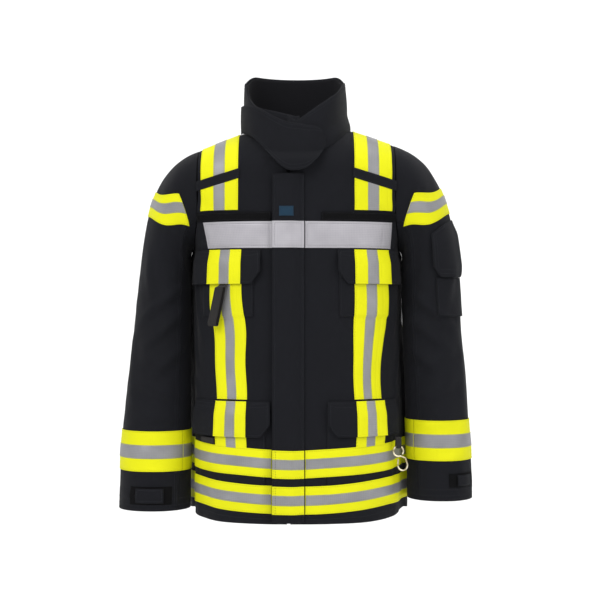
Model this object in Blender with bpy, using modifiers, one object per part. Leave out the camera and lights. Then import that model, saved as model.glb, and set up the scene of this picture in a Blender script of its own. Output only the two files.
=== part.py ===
"""A firefighter's turnout coat, hanging as worn: shell, liner, collar, closure, pockets, trim and snap hook.

Metres, +Z up, the front faces -Y and the wearer's left is +X.
The origin is the hanger loop inside the back neck.
"""

import bpy
import bmesh
from math import asin, cos, pi, sin, sqrt
from mathutils import Vector

# ---- Driving dimensions --------------------------------------------------------------------------
SEAM_Y = -0.0825  # the side seams, from the hanger loop
NECK_DROP = -0.02  # the neck base, from the hanger loop
HALF_WIDTH = 0.193  # body at the hem and waist
SHOULDER_FLARE = 0.058  # the body's section widens by this above the armpit
FRONT_DEPTH = 0.133
BACK_DEPTH = 0.122
DEPTH_FLARE = 0.0217  # growth of the depth per metre of drop
BOXINESS = 0.78
HEM_H = -0.725
HEM_SWEEP = 0.012  # the hem is higher by this at the side seams
ARMPIT_H = -0.222
CHEST_H = -0.076  # above this the body curves in to the shoulder ridge
RIDGE_RISE = 0.117
RIDGE_ARC = 0.2
TOP_H = CHEST_H + RIDGE_ARC
SHOULDER_SLOPES = {"right": 0.41, "left": 0.35}
SLOPE_START = -0.15
ARMHOLE_X = 0.183
NECK_HALF = 0.098
NECK_FRONT_H = -0.043
NECK_BACK_H = 0.016
COLLAR_START = 0.07
COLLAR_SWEEP = 6.51
COLLAR_OVERLAP = 0.0075
COLLAR_LEAN = 0.0085  # how far its left side leans in over the neckline

SHELL = 0.0024
LINER_LIFT = -0.0098
LINER = 0.0022
TRIM_LIFT = 0.0024
TRIM = 0.001
POCKET = 0.0032
OVER_LIFT = 0.0072  # trims that cross a pocket
FLAP_LIFT = 0.0098
FLAP = 0.0024
FLAP_TRIM_LIFT = 0.0134

ZIP_X = -0.014
STORM_X = (-0.043, 0.0145)
STORM_H = (-0.722, -0.087)
CHEST_BAND_H = (-0.222, -0.173)
UPPER_HEM_H = (-0.6415, -0.591)
LOWER_HEM_H = (-0.7065, -0.656)

SLEEVE_TURN_Z = -0.262  # the sleeve's sections are level below this
SLEEVE_DEPTH = 0.074
SLEEVE_FORWARD = -0.018
CUFF_Z = {"right": -0.711, "left": -0.692}
CUFF_INNER = {"right": 0.2015, "left": 0.211}
SLEEVE_OUTER = {
    "right": ((-0.262, 0.2985), (-0.317, 0.3053), (-0.482, 0.3235), (-0.6, 0.334), (-0.72, 0.3385)),
    "left": ((-0.262, 0.309), (-0.375, 0.3158), (-0.463, 0.3235), (-0.6, 0.3315), (-0.72, 0.335)),
}

COLORS = {
    "shell": ((0.012, 0.014, 0.019), 0.85, 0.0),
    "liner": ((0.05, 0.05, 0.04), 0.9, 0.0),
    "knit": ((0.03, 0.03, 0.032), 0.95, 0.0),
    "trim": ((0.72, 0.75, 0.06), 0.45, 0.0),
    "loop": ((0.006, 0.006, 0.006), 1.0, 0.0),
    "webbing": ((0.045, 0.043, 0.045), 0.8, 0.0),
    "label": ((0.012, 0.04, 0.08), 0.6, 0.0),
    "metal": ((0.62, 0.58, 0.48), 0.28, 1.0),
    "zip": ((0.02, 0.02, 0.02), 0.6, 0.0),
}

SIDES = {"right": -1, "left": 1}


# ---- Surfaces ------------------------------------------------------------------------------------
def mix(a, b, t):
    return a + (b - a) * t


def smooth(t):
    t = min(1.0, max(0.0, t))
    return t * t * (3 - 2 * t)


def through(stations, z):
    """A value read between stations of falling height."""
    for (z0, a), (z1, b) in zip(stations, stations[1:]):
        if z >= z1:
            return mix(a, b, (z0 - z) / (z0 - z1))
    return stations[-1][1]


def half_width(h):
    return HALF_WIDTH + SHOULDER_FLARE * smooth((h - ARMPIT_H) / 0.15)


def girth_at(x, h):
    """The girth coordinate of a point on the front: 0 at the centre, 1 at the left side seam."""
    angle = asin(min(1.0, (abs(x) / half_width(h)) ** (1 / BOXINESS))) * 2 / pi
    if angle >= 1:
        return 1.0 if x > 0 else -1.0
    ratio = (angle / (1 - angle)) ** BOXINESS
    return (1 if x > 0 else -1) * ratio / (1 + ratio)


def shoulder_slope(x, h):
    steepest = SHOULDER_SLOPES["left" if x > 0 else "right"]
    return steepest * smooth((h - SLOPE_START) / (TOP_H - SLOPE_START))


def bare_body(g, h):
    """The body's outer surface at girth g and arc height h."""
    g = (g + 2) % 4 - 2
    turn = abs(g)
    if turn > 1:
        turn = 2 - turn
    near = turn ** (1 / BOXINESS)
    far = (1 - turn) ** (1 / BOXINESS)
    angle = pi / 2 * near / (near + far)
    depth = FRONT_DEPTH if abs(g) <= 1 else BACK_DEPTH
    rise = max(0.0, h - CHEST_H) / RIDGE_ARC * pi / 2
    depth = depth * cos(rise) if rise > 0 else depth + DEPTH_FLARE * (CHEST_H - h)
    height = CHEST_H + RIDGE_RISE * sin(rise) if rise > 0 else h
    arc = mix(smooth(turn / 0.75), turn**3, smooth((-0.7 - h) / 0.025))
    height += HEM_SWEEP * smooth((-0.56 - h) / 0.035) * arc
    x = half_width(h) * sin(angle) ** BOXINESS * (1 if g > 0 else -1)
    y = depth * max(0.0, cos(angle)) ** BOXINESS * (-1 if abs(g) <= 1 else 1)
    return Vector((x, y + SEAM_Y, height - shoulder_slope(x, h) * abs(x) + NECK_DROP))


def lifted(surface, a, b, lift, step_a, step_b, inward=1):
    """The surface's point moved along its normal. inward=-1 turns the normal round."""
    here = surface(a, b)
    if lift == 0:
        return here
    across = surface(a + step_a, b) - surface(a - step_a, b)
    along = surface(a, b + step_b) - surface(a, b - step_b)
    return here + across.cross(along).normalized() * lift * inward


def body(g, h, lift=0.0):
    h = min(h, TOP_H - 0.0011)
    return lifted(bare_body, g, h, lift, 0.004, 0.001)


def armhole_x(h):
    return mix(HALF_WIDTH, ARMHOLE_X, smooth((h - ARMPIT_H) / 0.07))


def armhole_girth(h, back=False):
    """The girth coordinate of the panel's outer edge: the side seam, and the armhole above it."""
    if h <= ARMPIT_H:
        return 1.0
    g = girth_at(min(armhole_x(h), half_width(h)), h)
    return 2 - g if back else g


def neck_height(x, back=False):
    """The arc height of the neckline, and of the shoulder ridge outside it."""
    low = NECK_BACK_H if back else NECK_FRONT_H
    if abs(x) >= NECK_HALF:
        return TOP_H
    return mix(TOP_H, low, sqrt(1 - (x / NECK_HALF) ** 2))


def armhole_point(side, turn):
    """The armhole's edge: turn 0 at the shoulder, pi/2 at the front, pi at the armpit."""
    middle = (TOP_H + ARMPIT_H) / 2
    h = middle + (TOP_H - ARMPIT_H) / 2 * cos(turn)
    g = armhole_girth(h, back=sin(turn) < 0)
    return body(side * g, h)


def sleeve_section(side, name, z):
    """A level section of the sleeve: centre, half-width and half-depth at height z."""
    fall = smooth((SLEEVE_TURN_Z - z) / (SLEEVE_TURN_Z - CUFF_Z[name]))
    outer = through(SLEEVE_OUTER[name], z)
    inner = mix(0.2015, CUFF_INNER[name], fall)
    centre = Vector((side * (outer + inner) / 2, SEAM_Y + SLEEVE_FORWARD * fall, z + NECK_DROP))
    return centre, (outer - inner) / 2, mix(SLEEVE_DEPTH, 0.066, fall)


def bare_sleeve(name, turn, s):
    """The sleeve: s from 0 at the armhole to 1 at the armpit's level, and to 2 at the cuff."""
    side = SIDES[name]
    z = SLEEVE_TURN_Z if s <= 1 else mix(SLEEVE_TURN_Z, CUFF_Z[name], s - 1)
    centre, half, depth = sleeve_section(side, name, z)
    ring = centre + Vector((side * half * cos(turn), -depth * sin(turn), 0))
    if s >= 1:
        return ring
    start = armhole_point(side, turn) + Vector((side * 0.0012, 0, 0))
    reach = (ring - start).length
    leave = Vector((side, 0, -0.33)) * 0.95 * reach
    arrive = Vector((side * 0.1, 0, -1)) * mix(1.0, 1.6, (1 + cos(turn)) / 2) * reach
    t2, t3 = s * s, s * s * s
    return (
        start * (2 * t3 - 3 * t2 + 1)
        + leave * (t3 - 2 * t2 + s)
        + ring * (3 * t2 - 2 * t3)
        + arrive * (t3 - t2)
    )


def sleeve(name, turn, s, lift=0.0):
    s = min(max(s, 0.0), 2.0)
    reach = min(max(s, 0.004), 1.996)
    normal = lifted(lambda a, b: bare_sleeve(name, a, b), turn, reach, 1.0, 0.01, 0.004, SIDES[name])
    return bare_sleeve(name, turn, s) + (normal - bare_sleeve(name, turn, reach)) * lift


def collar(wrap, rise, lift=0.0):
    """The standing collar: wrap 0 at its right end, 1 at its left end, which crosses over it at the front."""
    turn = COLLAR_START - COLLAR_SWEEP * wrap
    x = NECK_HALF * sin(turn)
    back = cos(turn) < 0
    height = neck_height(x, back)
    g = girth_at(x, height)
    low = bare_body(2 - g if back else g, min(height, TOP_H - 0.001))
    aside = 1.0 if back else abs(sin(turn))
    top = mix(0.0215, 0.0435, aside) if wrap < 0.5 else mix(0.012, 0.078, aside)
    top += (0.098 - (0.0435 if wrap < 0.5 else 0.078)) * aside**10 + 0.021 * smooth(-cos(turn) * 1.6)
    lean = -0.004 if back else mix(0.018 if wrap < 0.5 else 0.015, 0.0, aside)
    high = Vector((low.x * 0.985, low.y + lean, top + NECK_DROP))
    out = Vector((sin(turn), -cos(turn), 0)) * (COLLAR_OVERLAP * wrap + lift)
    out.x -= COLLAR_LEAN * max(0, sin(turn)) * smooth(rise / 0.35)
    return (low + Vector((0, 0, 0.0015))).lerp(high, rise) + out


def body_depth(x, z):
    """How far the body's front stands before the side seams at x and z, 0 above the shoulder ridge."""
    h = z
    for _ in range(12):
        height = z + shoulder_slope(x, h) * abs(x)
        if height <= CHEST_H:
            h = height
        elif height >= CHEST_H + RIDGE_RISE:
            return 0.0
        else:
            h = CHEST_H + RIDGE_ARC * asin((height - CHEST_H) / RIDGE_RISE) * 2 / pi
    return SEAM_Y - bare_body(girth_at(x, h), h).y


# ---- Places of the sewn and moving pieces --------------------------------------------------------
ZIP_H = (-0.70, -0.09)
SLIDER_H = -0.105
LABEL_X = -0.018
LABEL_H = -0.155
THROAT_TURNS = (-1.3, 0.57)
THROAT_LEFT = -0.103
THROAT_SPAN = 0.156
POCKETS = {
    "chest": {
        "pocket_x": (0.078, 0.172),
        "pocket_h": (-0.348, -0.238),
        "flap_h": (-0.288, -0.229),
        "flap_x": {"right": (0.065, 0.187), "left": (0.075, 0.187)},
        "stripe_x": {"right": (0.0995, 0.158), "left": (0.105, 0.168)},
    },
    "lower": {
        "pocket_x": (0.056, 0.18),
        "pocket_h": (-0.69, -0.512),
        "flap_h": (-0.568, -0.502),
        "flap_x": {"right": (0.0475, 0.186), "left": (0.057, 0.184)},
        "stripe_x": {"right": (0.0905, 0.1455), "left": (0.108, 0.16)},
    },
}
CHEST_BAND_X = {"right": (0.046, 0.172), "left": (0.0175, 0.175)}
SHOULDER_TRIM_X = (0.1065, 0.176)
SHOULDER_TRIM_LOW = -0.152
VERTICAL_TRIM_X = {"right": (0.093, 0.152), "left": (0.107, 0.163)}
VERTICAL_TRIM_H = (-0.497, -0.293)
LOOP_STRIP_X = (0.046, 0.179)
LOOP_STRIP_H = (-0.1715, -0.156)
# The upper sleeve band's outer stretch is level; from the bend it rises to its inner end, which slants.
UPPER_BAND_BACK = -1.3
UPPER_BAND_BEND = 0.6
UPPER_BAND_END = (2.35, 1.78)
UPPER_BAND_OUTER_S = (0.7, 0.52)
UPPER_BAND_INNER_S = (0.18, 0.26)
CUFF_BAND_Z = {"right": (-0.637, -0.562), "left": (-0.617, -0.542)}
CUFF_TAB_TURN = {"right": (1.12, 1.88), "left": (0.5, 1.12)}
CUFF_TAB_S = {"right": (1.965, 1.905), "left": (1.935, 1.888)}
TAB_LIFT = 0.0014
SLEEVE_POCKET_TURN = (0.35, 1.48)
SLEEVE_FLAP_TURN = (0.3, 1.56)
WEBBING_X = -0.136
WEBBING_H = -0.29
HOOK_X = 0.172
HOOK_H = -0.574


def local_frame(x, h, lift):
    """A point over the body's front with its level tangent and its outward normal."""
    g = girth_at(x, h)
    here = body(g, h, lift)
    out = (body(g, h, lift + 0.01) - here).normalized()
    out.z = 0
    out.normalize()
    return here, Vector((0, 0, 1)).cross(out), out


def turned_to_front(frame, share):
    """The frame with its outward direction turned part of the way to the front."""
    here, _, out = frame
    out = out.lerp(Vector((0, -1, 0)), share).normalized()
    return here, Vector((0, 0, 1)).cross(out), out


def placed(frame, across, out, up):
    here, tangent, normal = frame
    return here + tangent * across + normal * out + Vector((0, 0, up))


def hinge_of(edge, towards, outward):
    """A hinge along a sewn edge: through its outermost point, turning the piece's free side outward."""
    axis = (edge[-1] - edge[0]).normalized()
    if axis.cross(towards).dot(outward) < 0:
        axis = -axis
    return max(edge, key=lambda point: point.dot(outward)), axis


def edge_samples(surface):
    return [surface(step / 8) for step in range(9)]


def find_hinges():
    hinges = {}
    down = Vector((0, 0, -1))
    front = Vector((0, -1, 0))
    for name, side in SIDES.items():
        for place, spans in POCKETS.items():
            near, far = spans["flap_x"][name]
            top = spans["flap_h"][1]

            def edge(t, near=near, far=far, top=top, side=side):
                return body(girth_at(side * mix(near, far, t), top), top, FLAP_LIFT)

            samples = edge_samples(edge)
            outward = (samples[-1] - samples[0]).cross(down).normalized() * side
            outward = outward if outward.dot(front) > 0 else -outward
            hinges[f"{place}_flap_{name}"] = hinge_of(samples, down, outward)

        near_turn, far_turn = CUFF_TAB_TURN[name]

        def tab_edge(t, name=name, turn=near_turn):
            return sleeve(name, turn, mix(*CUFF_TAB_S[name], t), TAB_LIFT)

        near_end = tab_edge(0.5)
        far_end = sleeve(name, far_turn, sum(CUFF_TAB_S[name]) / 2, TAB_LIFT)
        outward = (sleeve(name, near_turn, 1.93, 0.01) - sleeve(name, near_turn, 1.93)).normalized()
        hinges[f"cuff_tab_{name}"] = hinge_of(edge_samples(tab_edge), far_end - near_end, outward)

    def storm_edge(t):
        h = mix(*STORM_H, t)
        return body(girth_at(STORM_X[1], h), h, FLAP_LIFT)

    hinges["storm_flap"] = hinge_of(edge_samples(storm_edge), Vector((-1, 0, 0)), front)
    root = edge_samples(lambda t: throat_surface(0, t))
    hinges["throat_flap"] = hinge_of(root, Vector((1, -0.5, 0)), front)

    def sleeve_edge(t):
        return sleeve("left", mix(*SLEEVE_FLAP_TURN, t), 0.74, 0.0066)

    middle = sum(SLEEVE_FLAP_TURN) / 2
    outward = (sleeve("left", middle, 0.74, 0.02) - sleeve("left", middle, 0.74, 0)).normalized()
    hinges["sleeve_pocket_flap"] = hinge_of(edge_samples(sleeve_edge), down, outward)
    return hinges


# ---- Building ------------------------------------------------------------------------------------
def material_named(kind, name):
    color, roughness, metallic = COLORS[kind]
    material = bpy.data.materials.new(name + "_" + kind)
    material.use_nodes = True
    shader = material.node_tree.nodes["Principled BSDF"]
    shader.inputs["Base Color"].default_value = (*color, 1)
    shader.inputs["Roughness"].default_value = roughness
    shader.inputs["Metallic"].default_value = metallic
    material.diffuse_color = (*color, 1)
    return material


def keep(obj, kind, origin=None):
    """Puts a finished object in the coat's collection, with its origin on its joint where it has one."""
    obj.data.materials.append(material_named(kind, obj.name))
    coat.objects.link(obj)
    if origin is not None:
        for vertex in obj.data.vertices:
            vertex.co -= origin
        obj.location = origin
    return obj


def body_axis(z):
    return Vector((0, SEAM_Y, z))


def sleeve_axis(name):
    def axis(z):
        centre = sleeve_section(SIDES[name], name, min(z - NECK_DROP, SLEEVE_TURN_Z))[0]
        return Vector((centre.x, centre.y, z))

    return axis


def cloth(
    name, kind, surface, columns, rows, thickness, origin=None, axis=body_axis, closed=False, inward=False
):
    """An open sheet over surface(u, v), thickened away from the axis, or towards it with inward."""
    mesh = bpy.data.meshes.new(name)
    bm = bmesh.new()
    bmesh.ops.create_grid(bm, x_segments=columns, y_segments=rows, size=0.5)
    for vertex in bm.verts:
        vertex.co = surface(vertex.co.x + 0.5, vertex.co.y + 0.5)
    if closed:
        bmesh.ops.remove_doubles(bm, verts=bm.verts, dist=1e-6)
    bm.normal_update()
    facing = 0.0
    for face in bm.faces:
        middle = face.calc_center_median()
        facing += face.normal.dot(middle - axis(middle.z)) * face.calc_area()
    if facing < 0:
        bmesh.ops.reverse_faces(bm, faces=bm.faces)
    bm.to_mesh(mesh)
    bm.free()
    mesh.shade_smooth()
    obj = keep(bpy.data.objects.new(name, mesh), kind, origin)
    solid = obj.modifiers.new("thickness", "SOLIDIFY")
    solid.thickness = thickness
    solid.offset = -1 if inward else 1
    return obj


def body_patch(name, kind, xs, hs, lift, thickness, columns, rows, origin=None, shape=None):
    """A piece on the body's front. shape(u, v) may cut its corners, and returns the u and v to use."""

    def surface(u, v):
        if shape:
            u, v = shape(u, v)
        h = mix(hs[0], hs[1], v)
        x = mix(xs[0], xs[1], u)
        raised = lift(x) if callable(lift) else lift
        return body(girth_at(x, h), h, raised)

    return cloth(name, kind, surface, columns, rows, thickness, origin)


def mirrored_span(side, near, far):
    """Two distances from the centre line as a rising pair of x values on one side."""
    return (near, far) if side > 0 else (-far, -near)


# ---- Shell and liner -----------------------------------------------------------------------------
def front_grid(side, lift, top=1.0):
    """A front panel: u from the zip to its outer edge, v from the hem to the neckline or shoulder."""

    def surface(u, v):
        h_top = TOP_H
        for _ in range(3):
            g = mix(girth_at(ZIP_X, h_top), side * armhole_girth(h_top), u)
            h_top = neck_height(bare_body(g, h_top).x)
        h = mix(HEM_H, h_top, (1 - (1 - v) ** 1.35) * top)
        start = girth_at(ZIP_X + side * 0.003, h)
        return body(mix(start, side * armhole_girth(h) - side * 0.004, u), h, lift)

    return surface


def back_grid(lift, top=1.0):
    def surface(u, v):
        h_top = TOP_H
        for _ in range(3):
            edge = armhole_girth(h_top, back=True)
            g = mix(edge, 4 - edge, u)
            x = bare_body(g, h_top).x
            h_top = neck_height(x, back=True)
        h = mix(HEM_H, h_top, (1 - (1 - v) ** 1.35) * top)
        edge = armhole_girth(h, back=True) + 0.004
        g = mix(edge, 4 - edge, u)
        return body(g, h, lift)

    return surface


def build_shell():
    for name, side in SIDES.items():
        cloth(f"front_panel_{name}", "shell", front_grid(side, 0), 13, 15, SHELL, inward=True)
        cloth(f"liner_front_{name}", "liner", front_grid(side, LINER_LIFT, 0.94), 8, 11, LINER, inward=True)
        for part, start in (("outer", -pi / 2), ("under", pi / 2)):

            def half_tube(u, v, start=start, name=name):
                turn = start + mix(0.02, pi - 0.02, u)
                return sleeve(name, turn, mix(0, 2, v))

            around = sleeve_axis(name)
            cloth(f"sleeve_{part}_{name}", "shell", half_tube, 7, 14, SHELL, None, around, inward=True)

        def sleeve_liner(u, v, name=name):
            return sleeve(name, mix(0, 2 * pi, u), mix(0.16, 1.97, v), -0.0085)

        axis = sleeve_axis(name)
        cloth(f"liner_sleeve_{name}", "liner", sleeve_liner, 12, 8, LINER, None, axis, True, True)
    cloth("back_panel", "shell", back_grid(0), 26, 15, SHELL, inward=True)
    cloth("liner_back", "liner", back_grid(LINER_LIFT, 0.95), 16, 11, LINER, inward=True)


# ---- Collar --------------------------------------------------------------------------------------
def throat_surface(u, v):
    """The tongue that closes the throat: u along it, v up it, with a round free end."""
    neck_x = NECK_HALF * sin(mix(*THROAT_TURNS, u))
    x = neck_x * (1 + 0.09 * max(0.0, -neck_x / NECK_HALF))
    along = (x - THROAT_LEFT) / THROAT_SPAN
    end = sqrt(max(0.03, 1 - max(0.0, (along - 0.55) / 0.45) ** 2.4))
    middle = mix(0.023, -0.038, smooth(along * 1.6)) + 0.012 * smooth((along - 0.75) / 0.25)
    half = mix(0.022, 0.044, smooth(along * 1.7)) * end
    z = middle + mix(-half, half, v)
    neck = SEAM_Y - bare_body(girth_at(neck_x, 0), neck_height(neck_x)).y
    gap = 0.006 + 0.0115 * smooth((-0.03 - z) / 0.035) * smooth((x + 0.075) / 0.02)
    out = max(neck + 0.0125, body_depth(x, z) + gap)
    return Vector((x, SEAM_Y - out, z + NECK_DROP))


def build_collar():
    def lining(u, v):
        return collar(u, mix(0.05, 0.97, v), -0.0042)

    cloth("collar_outer", "shell", collar, 30, 3, SHELL, inward=True)
    cloth("collar_lining", "liner", lining, 30, 3, 0.0014, inward=True)
    cloth("throat_flap", "shell", throat_surface, 12, 5, FLAP, HINGES["throat_flap"][0])


# ---- Front closure -------------------------------------------------------------------------------
def rounded_box(name, kind, centre, size, radius, origin=None):
    """A block with its edges rounded."""
    mesh = bpy.data.meshes.new(name)
    bm = bmesh.new()
    bmesh.ops.create_cube(bm, size=1)
    for vertex in bm.verts:
        scaled = Vector((vertex.co.x * size[0], vertex.co.y * size[1], vertex.co.z * size[2]))
        vertex.co = scaled + centre
    bm.to_mesh(mesh)
    bm.free()
    obj = keep(bpy.data.objects.new(name, mesh), kind, origin)
    bevel = obj.modifiers.new("round", "BEVEL")
    bevel.width = radius
    bevel.segments = 2
    return obj


def build_closure():
    axis = HINGES["storm_flap"][0]
    body_patch("storm_flap", "shell", STORM_X, STORM_H, FLAP_LIFT, FLAP, 3, 14, axis)
    for name, side in SIDES.items():
        near = ZIP_X + side * 0.0022
        far = ZIP_X + side * 0.014
        span = (near, far) if side > 0 else (far, near)
        body_patch(f"zip_tape_{name}", "zip", span, ZIP_H, 0.0014, 0.0016, 1, 12)
    rounded_box("zip_slider", "metal", SLIDER_AT, (0.0085, 0.002, 0.012), 0.0005, SLIDER_AT)
    pull_at = PULL_PIVOT - Vector((0, 0, 0.0105))
    rounded_box("zip_pull", "metal", pull_at, (0.006, 0.0012, 0.021), 0.0004, PULL_PIVOT)
    rounded_box("label_patch", "label", LABEL_AT, (0.026, 0.001, 0.018), 0.0003, axis)


# ---- Pockets -------------------------------------------------------------------------------------
def cut_corner(side, share, drop):
    """Bevels a flap's inner lower corner over this share of its width and this share of its height."""

    def shape(u, v):
        from_inner = u if side > 0 else 1 - u
        rise = drop * max(0.0, 1 - from_inner / share)
        return u, mix(rise, 1, v)

    return shape


def inset(span):
    return (span[0] + 0.0015, span[1] - 0.0015)


def build_pockets():
    for name, side in SIDES.items():
        for place in ("chest", "lower"):
            spans = POCKETS[place]
            span = mirrored_span(side, *spans["pocket_x"])
            body_patch(f"{place}_pocket_{name}", "shell", span, spans["pocket_h"], TRIM_LIFT, POCKET, 5, 5)
            axis = HINGES[f"{place}_flap_{name}"][0]
            heights = spans["flap_h"]
            corner = cut_corner(side, 0.13, 0.22)
            span = mirrored_span(side, *spans["flap_x"][name])
            body_patch(f"{place}_flap_{name}", "shell", span, heights, FLAP_LIFT, FLAP, 9, 3, axis, corner)
            span = mirrored_span(side, *spans["stripe_x"][name])
            stripe = f"{place}_flap_trim_{name}"
            body_patch(stripe, "trim", span, inset(heights), FLAP_TRIM_LIFT, TRIM, 4, 2, axis)

    def pocket(u, v):
        return sleeve("left", mix(*SLEEVE_POCKET_TURN, u), mix(1.2, 1.03, v), 0.0016)

    def flap(u, v):
        return sleeve("left", mix(*SLEEVE_FLAP_TURN, u), mix(1.03, 0.74, v), 0.0066)

    axis = sleeve_axis("left")
    cloth("sleeve_pocket", "shell", pocket, 6, 4, POCKET, None, axis)
    cloth("sleeve_pocket_flap", "shell", flap, 6, 5, FLAP, HINGES["sleeve_pocket_flap"][0], axis)


# ---- Reflective trim -----------------------------------------------------------------------------
def around(name, heights):
    """A band sewn from one edge of the storm flap round the back to the other."""
    start = girth_at(STORM_X[1] + 0.0025, heights[0])
    stop = 4 + girth_at(STORM_X[0] - 0.0025, heights[0])

    def surface(u, v):
        g = mix(start, stop, u)
        front = smooth((0.93 - min(g, 4 - g)) / 0.05)
        return body(g, mix(*heights, v), mix(TRIM_LIFT, OVER_LIFT, front))

    cloth(name, "trim", surface, 44, 1, TRIM)


def build_trim():
    for name, side in SIDES.items():
        span = mirrored_span(side, *CHEST_BAND_X[name])
        body_patch(f"chest_band_{name}", "trim", span, CHEST_BAND_H, TRIM_LIFT, TRIM, 8, 2)

        def over_shoulder(u, v, side=side):
            x = side * mix(*SHOULDER_TRIM_X, u if side > 0 else 1 - u)
            path = mix(SHOULDER_TRIM_LOW, TOP_H + 0.1, v)
            if path <= TOP_H:
                return body(girth_at(x, path), path, TRIM_LIFT + 0.0006)
            path = 2 * TOP_H - path
            g = girth_at(x, path)
            return body(2 - g if g > 0 else -2 - g, path, TRIM_LIFT + 0.0006)

        cloth(f"shoulder_trim_{name}", "trim", over_shoulder, 3, 16, TRIM)
        span = mirrored_span(side, *VERTICAL_TRIM_X[name])
        body_patch(f"vertical_trim_{name}", "trim", span, VERTICAL_TRIM_H, OVER_LIFT, TRIM, 3, 5)
        span = mirrored_span(side, *LOOP_STRIP_X)
        body_patch(f"loop_strip_{name}", "loop", span, LOOP_STRIP_H, TRIM_LIFT, 0.0022, 8, 1)

        def upper_band(u, v, name=name):
            end = mix(*UPPER_BAND_END, v)
            turn = mix(UPPER_BAND_BACK, end, u)
            rise = max((turn - UPPER_BAND_BEND) / (end - UPPER_BAND_BEND), 0) ** mix(4.3, 3.1, v)
            s = mix(mix(*UPPER_BAND_OUTER_S, v), mix(*UPPER_BAND_INNER_S, v), rise)
            return sleeve(name, turn, s, TRIM_LIFT)

        cloth(f"upper_sleeve_band_{name}", "trim", upper_band, 16, 3, TRIM, None, sleeve_axis(name))

        def cuff_band(u, v, name=name):
            z = mix(*CUFF_BAND_Z[name], v)
            s = 1 + (SLEEVE_TURN_Z - z) / (SLEEVE_TURN_Z - CUFF_Z[name])
            return sleeve(name, mix(0, 2 * pi, u), s, 0.0021)

        cloth(f"cuff_band_{name}", "trim", cuff_band, 20, 2, TRIM, None, sleeve_axis(name), True)

        def tab(u, v, name=name):
            return sleeve(name, mix(*CUFF_TAB_TURN[name], u), mix(*CUFF_TAB_S[name], v), TAB_LIFT)

        pivot = HINGES[f"cuff_tab_{name}"][0]
        cloth(f"cuff_tab_{name}", "shell", tab, 4, 1, FLAP, pivot, sleeve_axis(name))

    def back_band(u, v):
        h = mix(*CHEST_BAND_H, v)
        edge = armhole_girth(h, back=True) + 0.2
        g = mix(edge, 4 - edge, u)
        return body(g, h, TRIM_LIFT + 0.002)

    cloth("chest_band_back", "trim", back_band, 16, 2, TRIM)
    around("hem_trim_upper", UPPER_HEM_H)
    around("hem_trim_lower", LOWER_HEM_H)
    inner = (STORM_X[0] + 0.001, STORM_X[1] - 0.001)
    axis = HINGES["storm_flap"][0]
    lift = FLAP_LIFT + FLAP + 0.0012
    for name, heights in (("chest", CHEST_BAND_H), ("upper", UPPER_HEM_H), ("lower", LOWER_HEM_H)):
        body_patch(f"storm_flap_trim_{name}", "trim", inner, heights, lift, TRIM, 3, 1, axis)


# ---- Hanging and holding pieces ------------------------------------------------------------------
def bar(name, kind, points, radius, origin):
    """A round bar along points, with its caps welded on."""
    curve = bpy.data.curves.new(name, "CURVE")
    curve.dimensions = "3D"
    curve.bevel_depth = radius
    curve.bevel_resolution = 2
    curve.use_fill_caps = True
    spline = curve.splines.new("POLY")
    spline.points.add(len(points) - 1)
    for point, place in zip(spline.points, points):
        point.co = (*(place - origin), 1)
    obj = bpy.data.objects.new(name, curve)
    obj.location = origin
    obj.data.materials.append(material_named(kind, name))
    coat.objects.link(obj)
    return obj


def strap(name, kind, centres, width_axis, width, thickness, origin=None):
    """A flat strap: a ribbon along centres, thickened."""
    half = width_axis.normalized() * width / 2

    def surface(u, v):
        place = v * (len(centres) - 1)
        i = min(int(place), len(centres) - 2)
        return centres[i].lerp(centres[i + 1], place - i) + half * (2 * u - 1)

    return cloth(name, kind, surface, 1, len(centres) - 1, thickness, origin)


def build_loops():
    arch = []
    for step in range(9):
        turn = pi * step / 8
        arch.append(Vector((-0.022 * cos(turn), -0.0012, -0.0155 + 0.015 * sin(turn))))
    strap("hanger_loop", "webbing", arch, Vector((0, 1, 0)), 0.008, 0.0016)
    frame = WEBBING
    loop = [placed(frame, 0.006 - 0.0026 * step, 0.0045, -0.004 - 0.011 * step) for step in range(7)]
    for step in range(1, 4):
        turn = pi * step / 4
        loop.append(placed(frame, -0.0096, 0.0045 * cos(turn), -0.07 - 0.0045 * sin(turn)))
    loop += [placed(frame, -0.0096 + 0.0026 * step, -0.0045, -0.07 + 0.011 * step) for step in range(7)]
    strap("webbing_loop", "webbing", loop, frame[1], 0.018, 0.0012, frame[0])


EYE_R = 0.0095
WIRE_R = 0.0017
EYE_DROP = 0.027  # from the tab's top to the middle of the hook's eye
HOOK_TILT = 0.3
BOWL_R = 0.009
BOWL_DROP = 0.028  # from the eye to the middle of the hook's bowl


def tilted(across, up):
    """Across, out and up of a point of the hook, which hangs askew from the middle of its eye."""
    turned_across = across * cos(HOOK_TILT) - up * sin(HOOK_TILT)
    turned_up = across * sin(HOOK_TILT) + up * cos(HOOK_TILT)
    return turned_across, 0, turned_up - EYE_DROP


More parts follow.
